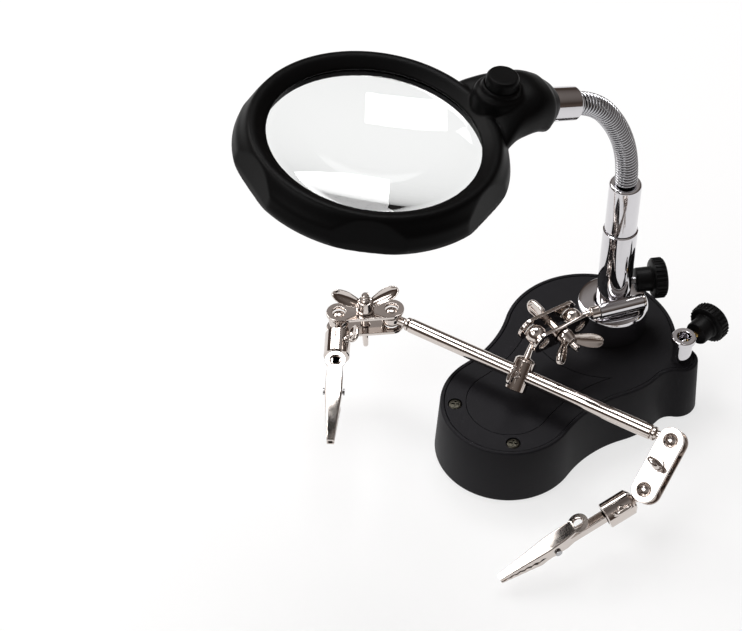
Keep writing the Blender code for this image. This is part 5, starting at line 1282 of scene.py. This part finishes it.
def folded(node, stations, sign, at):
    """Jaw folded from sheet, from (x, half width, web height, edge height) stations."""
    rows = []
    for x, w, web, edge in stations:
        fold = min(JAW_FOLD, 0.35 * abs(web - edge), 0.5 * w)
        tight = max(fold - JAW_SHEET, JAW_INNER_FOLD)
        bends = [(1 - math.sin(math.pi / 2 * k / 5), 1 - math.cos(math.pi / 2 * k / 5)) for k in range(6)]
        half = [(w - fold * a, web + sign * fold * b) for a, b in bends] + [(w, edge), (w - JAW_SHEET, edge)]
        half += [(w - JAW_SHEET - tight * a, web + sign * (JAW_SHEET + tight * b))
                 for a, b in reversed(bends)]
        rows.append([(x, y, z) for y, z in half] + [(x, -y, z) for y, z in reversed(half)])
    return loft(node + "_finished", rows, at)


def jaw(node, body, at):
    """Drills a jaw for its pin and rounds its edges."""
    body = carved(body, rod("pin_hole", PIN_R + RUN_GAP, -FAR, FAR, at @ axes((0, 0, 0), (0, 1, 0))))
    stands_for(rounded(body, JAW_EDGE), node)


def toothed(start, start_web, start_edge, tip_web, tip_edge, start_half):
    """Stations of a jaw's front, whose edges rise and fall as teeth."""
    stations = []
    for k in range(2 * TOOTH_COUNT + 1):
        part = k / (2 * TOOTH_COUNT)
        edge = between(start_edge, tip_edge, part)
        if k % 2 == 1:
            edge += TOOTH_DEPTH * (1.0 - 0.5 * part) * (1 if start_web > 0 else -1)
        stations.append((between(start, JAW_LENGTH, part), between(start_half, JAW_TIP_HALF_WIDTH, part),
                         between(start_web, tip_web, part), edge))
    return stations


# Sides of the jaws behind their teeth: place along the clip, height of the edge
MOVING_SIDES = ((-0.0045, 0.0014), (-0.0022, -0.0012), (0.0, -0.0021), (0.0024, -0.0014))
FIXED_SIDES = ((-0.0045, 0.0014), (0.0, 0.0020), (0.0026, 0.0008))


def moving_jaw(node, at):
    w = JAW_HALF_WIDTH
    neck = -EAR_REACH + 0.6 * EAR_DISC_R
    stations = [(x, share * w, top_line(x), top_line(x) - sheets * JAW_SHEET)
                for x, share, sheets in ((neck, 0.84, 1.5), (-EAR_NECK, 0.92, 2.2))]
    stations += [(x, w, top_line(x), edge) for x, edge in MOVING_SIDES]
    start = MOVING_TEETH_FROM
    stations += toothed(start, top_line(start), JAW_BITE, JAW_TIP_HEIGHT, JAW_BITE, w - 0.0002)
    ear = [(EAR_HOLE_R, -JAW_SHEET), (EAR_DISC_R - SMALL_EDGE, -JAW_SHEET), (EAR_DISC_R, -0.7 * JAW_SHEET),
           (EAR_DISC_R, -0.3 * JAW_SHEET), (EAR_DISC_R - SMALL_EDGE, 0.0)]
    rolled = ((1.0, 0.0), (0.8, 0.32), (0.5, 0.5), (0.2, 0.38), (0.0, 0.1))
    ear += [(EAR_HOLE_R + out * EAR_ROLL, rise * EAR_ROLL) for out, rise in rolled]
    ear_at = at @ axes((-EAR_REACH, 0, top_line(-EAR_REACH) - EAR_DIP), SQUARE, (1, 0, 0))
    jaw(node, carved(folded(node, stations, -1, at), lathe("ear", ear, ear_at, 56), way="UNION"), at)


def fixed_jaw(node, at, tail):
    stations = [(x, CLIP_TAIL_HALF, TAIL_LOW, TAIL_HIGH) for x in (-tail, -FIXED_TAIL_TO)]
    stations += [(x, FIXED_HALF_WIDTH, -JAW_HEIGHT, edge) for x, edge in FIXED_SIDES]
    stations.append((MOVING_TEETH_FROM, FIXED_HALF_WIDTH + 0.0002, -JAW_HEIGHT + 0.0001, -JAW_BITE - 0.0006))
    stations += toothed(FIXED_TEETH_FROM, -JAW_HEIGHT + 0.0002, -JAW_BITE, -JAW_TIP_HEIGHT, -JAW_BITE,
                        JAW_HALF_WIDTH - 0.0004)
    jaw(node, folded(node, stations, 1, at), at)


def clip_spring(node, at):
    """Curls round the pin: one leg stays on the fixed jaw's floor, one follows the moving jaw's top."""
    floor_z = -JAW_HEIGHT + JAW_SHEET + SEAT_GAP
    half_turns = 2 * SPRING_CURLS + 1
    last = SPRING_PITCH * half_turns / 2
    points = [(-SPRING_FOOT, 0, floor_z), (-SPRING_FOOT, 0, floor_z + 2 * SPRING_WIRE_R),
              (-0.0032, 0, -SPRING_R - 0.0001), (-0.0027, 0, -SPRING_R)]
    for k in range(10 * half_turns + 1):
        angle = -math.pi / 2 + math.pi * k / 10
        points.append((SPRING_R * math.cos(angle), last * k / (10 * half_turns), SPRING_R * math.sin(angle)))
    meet = Vector((-SPRING_TOE, last, top_line(-SPRING_TOE))) - SQUARE * (JAW_SHEET + SEAT_GAP)
    points += [(-0.0030, last, SPRING_R + 0.0001), meet - SQUARE * 0.0011 - Vector((0.0001, 0, 0)),
               meet - SQUARE * 2 * SPRING_WIRE_R, meet]
    placed = at @ shifted(y=-last / 2)
    line = [placed @ Vector(point) for point in curve_through(points, 3)]
    wire = wire_along(node + "_finished", line, "steel", turns=1.0, coil=0.0, wire=SPRING_WIRE_R, steps=260,
                      sides=10)
    bends_for(wire, node)


for word in ("left_", "right_"):
    ball_way = way_of(word + "ball_spin")
    ball_reach = (pivot_of(word + "swing_inner") - pivot_of(word + "ball_spin")).dot(ball_way)
    turn_again(word + "rod_ball", along_joint(word + "ball_spin"), ball_at=ball_reach)
    clip_way = (pivot_of(word + "clip_spin") - pivot_of(word + "swing_outer")).normalized()
    thumb_at = along_joint(word + "thumbscrew_turn", clip_way)
    cuts = [rod("thumb_hole", THUMB_R + RUN_GAP, CLIP_BORE_R, FAR, thumb_at)]
    turn_again(word + "clip_holder", axes(pivot_of(word + "swing_outer"), clip_way), ball_at=0.0, cuts=cuts)
    thumbscrew(word + "clip_thumbscrew", thumb_at, math.sqrt(2) * CLIP_TAIL_HALF + SEAT_GAP)
    pivot = pivot_of(word + "jaw_open")
    clip_at = axes(pivot, UP - clip_way * clip_way.dot(UP), clip_way)
    moving_jaw(word + "moving_jaw", clip_at)
    pivot_reach = (pivot - pivot_of(word + "clip_spin")).dot(clip_way)
    fixed_jaw(word + "fixed_jaw", clip_at, pivot_reach + CLIP_TAIL_DEPTH)
    clip_spring(word + "clip_spring", clip_at)
    turn_again(word + "pivot_pin", along_joint(word + "jaw_open"), 0.00015)

# Pieces inside the base and the head keep their nodes' forms, with flat faces made whole and edges rounded
HIDDEN = ["battery_1", "battery_2", "battery_3", "battery_contact_front", "battery_contact_rear",
          "ballast_weight", "post_nut", "switch_body", "led_lamp"]
for node in HIDDEN:
    shape = whole_shape(node)
    bmesh.ops.dissolve_limit(shape, angle_limit=math.radians(1.0), verts=shape.verts, edges=shape.edges)
    stands_for(rounded(piece_of(node + "_finished", shape), 0.00016), node)

# Studio: a white floor, a room that is dark low down and bright above, and soft lamps
FLOOR = 3.0
floor_mesh = bpy.data.meshes.new("floor")
corners = [(-FLOOR, -FLOOR, 0), (FLOOR, -FLOOR, 0), (FLOOR, FLOOR, 0), (-FLOOR, FLOOR, 0)]
floor_mesh.from_pydata(corners, [], [(0, 1, 2, 3)])
floor = piece_from("floor", floor_mesh)
white = Finish("white_floor", Base_Color=(0.93, 0.925, 0.93, 1.0), Roughness=0.9, Specular_IOR_Level=0.0)
seen, mirrored, through = (white.add("ShaderNodeLightPath", output=k) for k in (0, 3, 6))
glow = white.add("ShaderNodeEmission", {}, {"Color": (1.0, 1.0, 1.0, 1.0), "Strength": 1.0})
share = (seen + mirrored) * 0.72 + through * 0.98
mixed = white.add("ShaderNodeMixShader", {}, {0: share, 1: Num(white, white.shader.outputs[0]), 2: glow})
white.tree.links.new(mixed.socket, white.tree.nodes["Material Output"].inputs[0])
floor_mesh.materials.append(white.material)

world = bpy.data.worlds.new("studio")
bpy.context.scene.world = world
world.use_nodes = True
room = Nodes(world.node_tree, "Background")
room.shader.inputs["Strength"].default_value = 1.0
height = room.add("ShaderNodeSeparateXYZ", {}, {0: room.add("ShaderNodeTexCoord")}, output=2)
BANDS = [(0.0, (0.40, 0.40, 0.41)), (0.49, (0.110, 0.082, 0.068)), (0.62, (0.060, 0.044, 0.036)),
         (0.79, (0.20, 0.175, 0.160)), (0.86, (0.36, 0.335, 0.325)), (0.93, (0.30, 0.280, 0.270)),
         (1.0, (0.10, 0.085, 0.080))]
room.feed("Color", room.add("ShaderNodeValToRGB", {"stops": BANDS}, {0: height * 0.5 + 0.5}))

AIM = Vector((-0.02, -0.02, 0.06))
for name, place, size, power, tint in (
        ("back_box", (-0.60, 0.56, 1.78), (0.90, 0.62), 16.5, (1.0, 1.0, 1.0)),
        ("left_box", (-1.45, -0.16, 1.30), (1.00, 0.90), 15.0, (1.0, 0.985, 0.975)),
        ("front_box", (-0.48, -1.16, 1.42), (1.15, 0.90), 13.0, (1.0, 1.0, 1.0))):
    light = bpy.data.lights.new(name, "AREA")
    light.shape = "RECTANGLE"
    light.size, light.size_y = size
    light.energy = power
    light.color = tint
    item = piece_from(name, light)
    item.location = place
    item.rotation_euler = (AIM - Vector(place)).to_track_quat("-Z", "Y").to_euler()

camera = bpy.data.cameras.new("view")
camera.lens = FOCAL
camera.sensor_width = SENSOR
camera.sensor_fit = "HORIZONTAL"
camera.clip_start = 0.05
camera.clip_end = 20.0
east, north = math.cos(VIEW_HEADING), math.sin(VIEW_HEADING)
right = Vector((east, north, 0))
ahead = Vector((-north * math.cos(VIEW_DROP), east * math.cos(VIEW_DROP), -math.sin(VIEW_DROP)))
eye = piece_from("view", camera)
turn = Matrix((right, right.cross(ahead), -ahead)).transposed().to_4x4()
eye.matrix_world = Matrix.Translation(VIEW_TARGET - ahead * VIEW_DISTANCE) @ turn
bpy.context.scene.camera = eye
bpy.context.scene.view_settings.view_transform = "Standard"
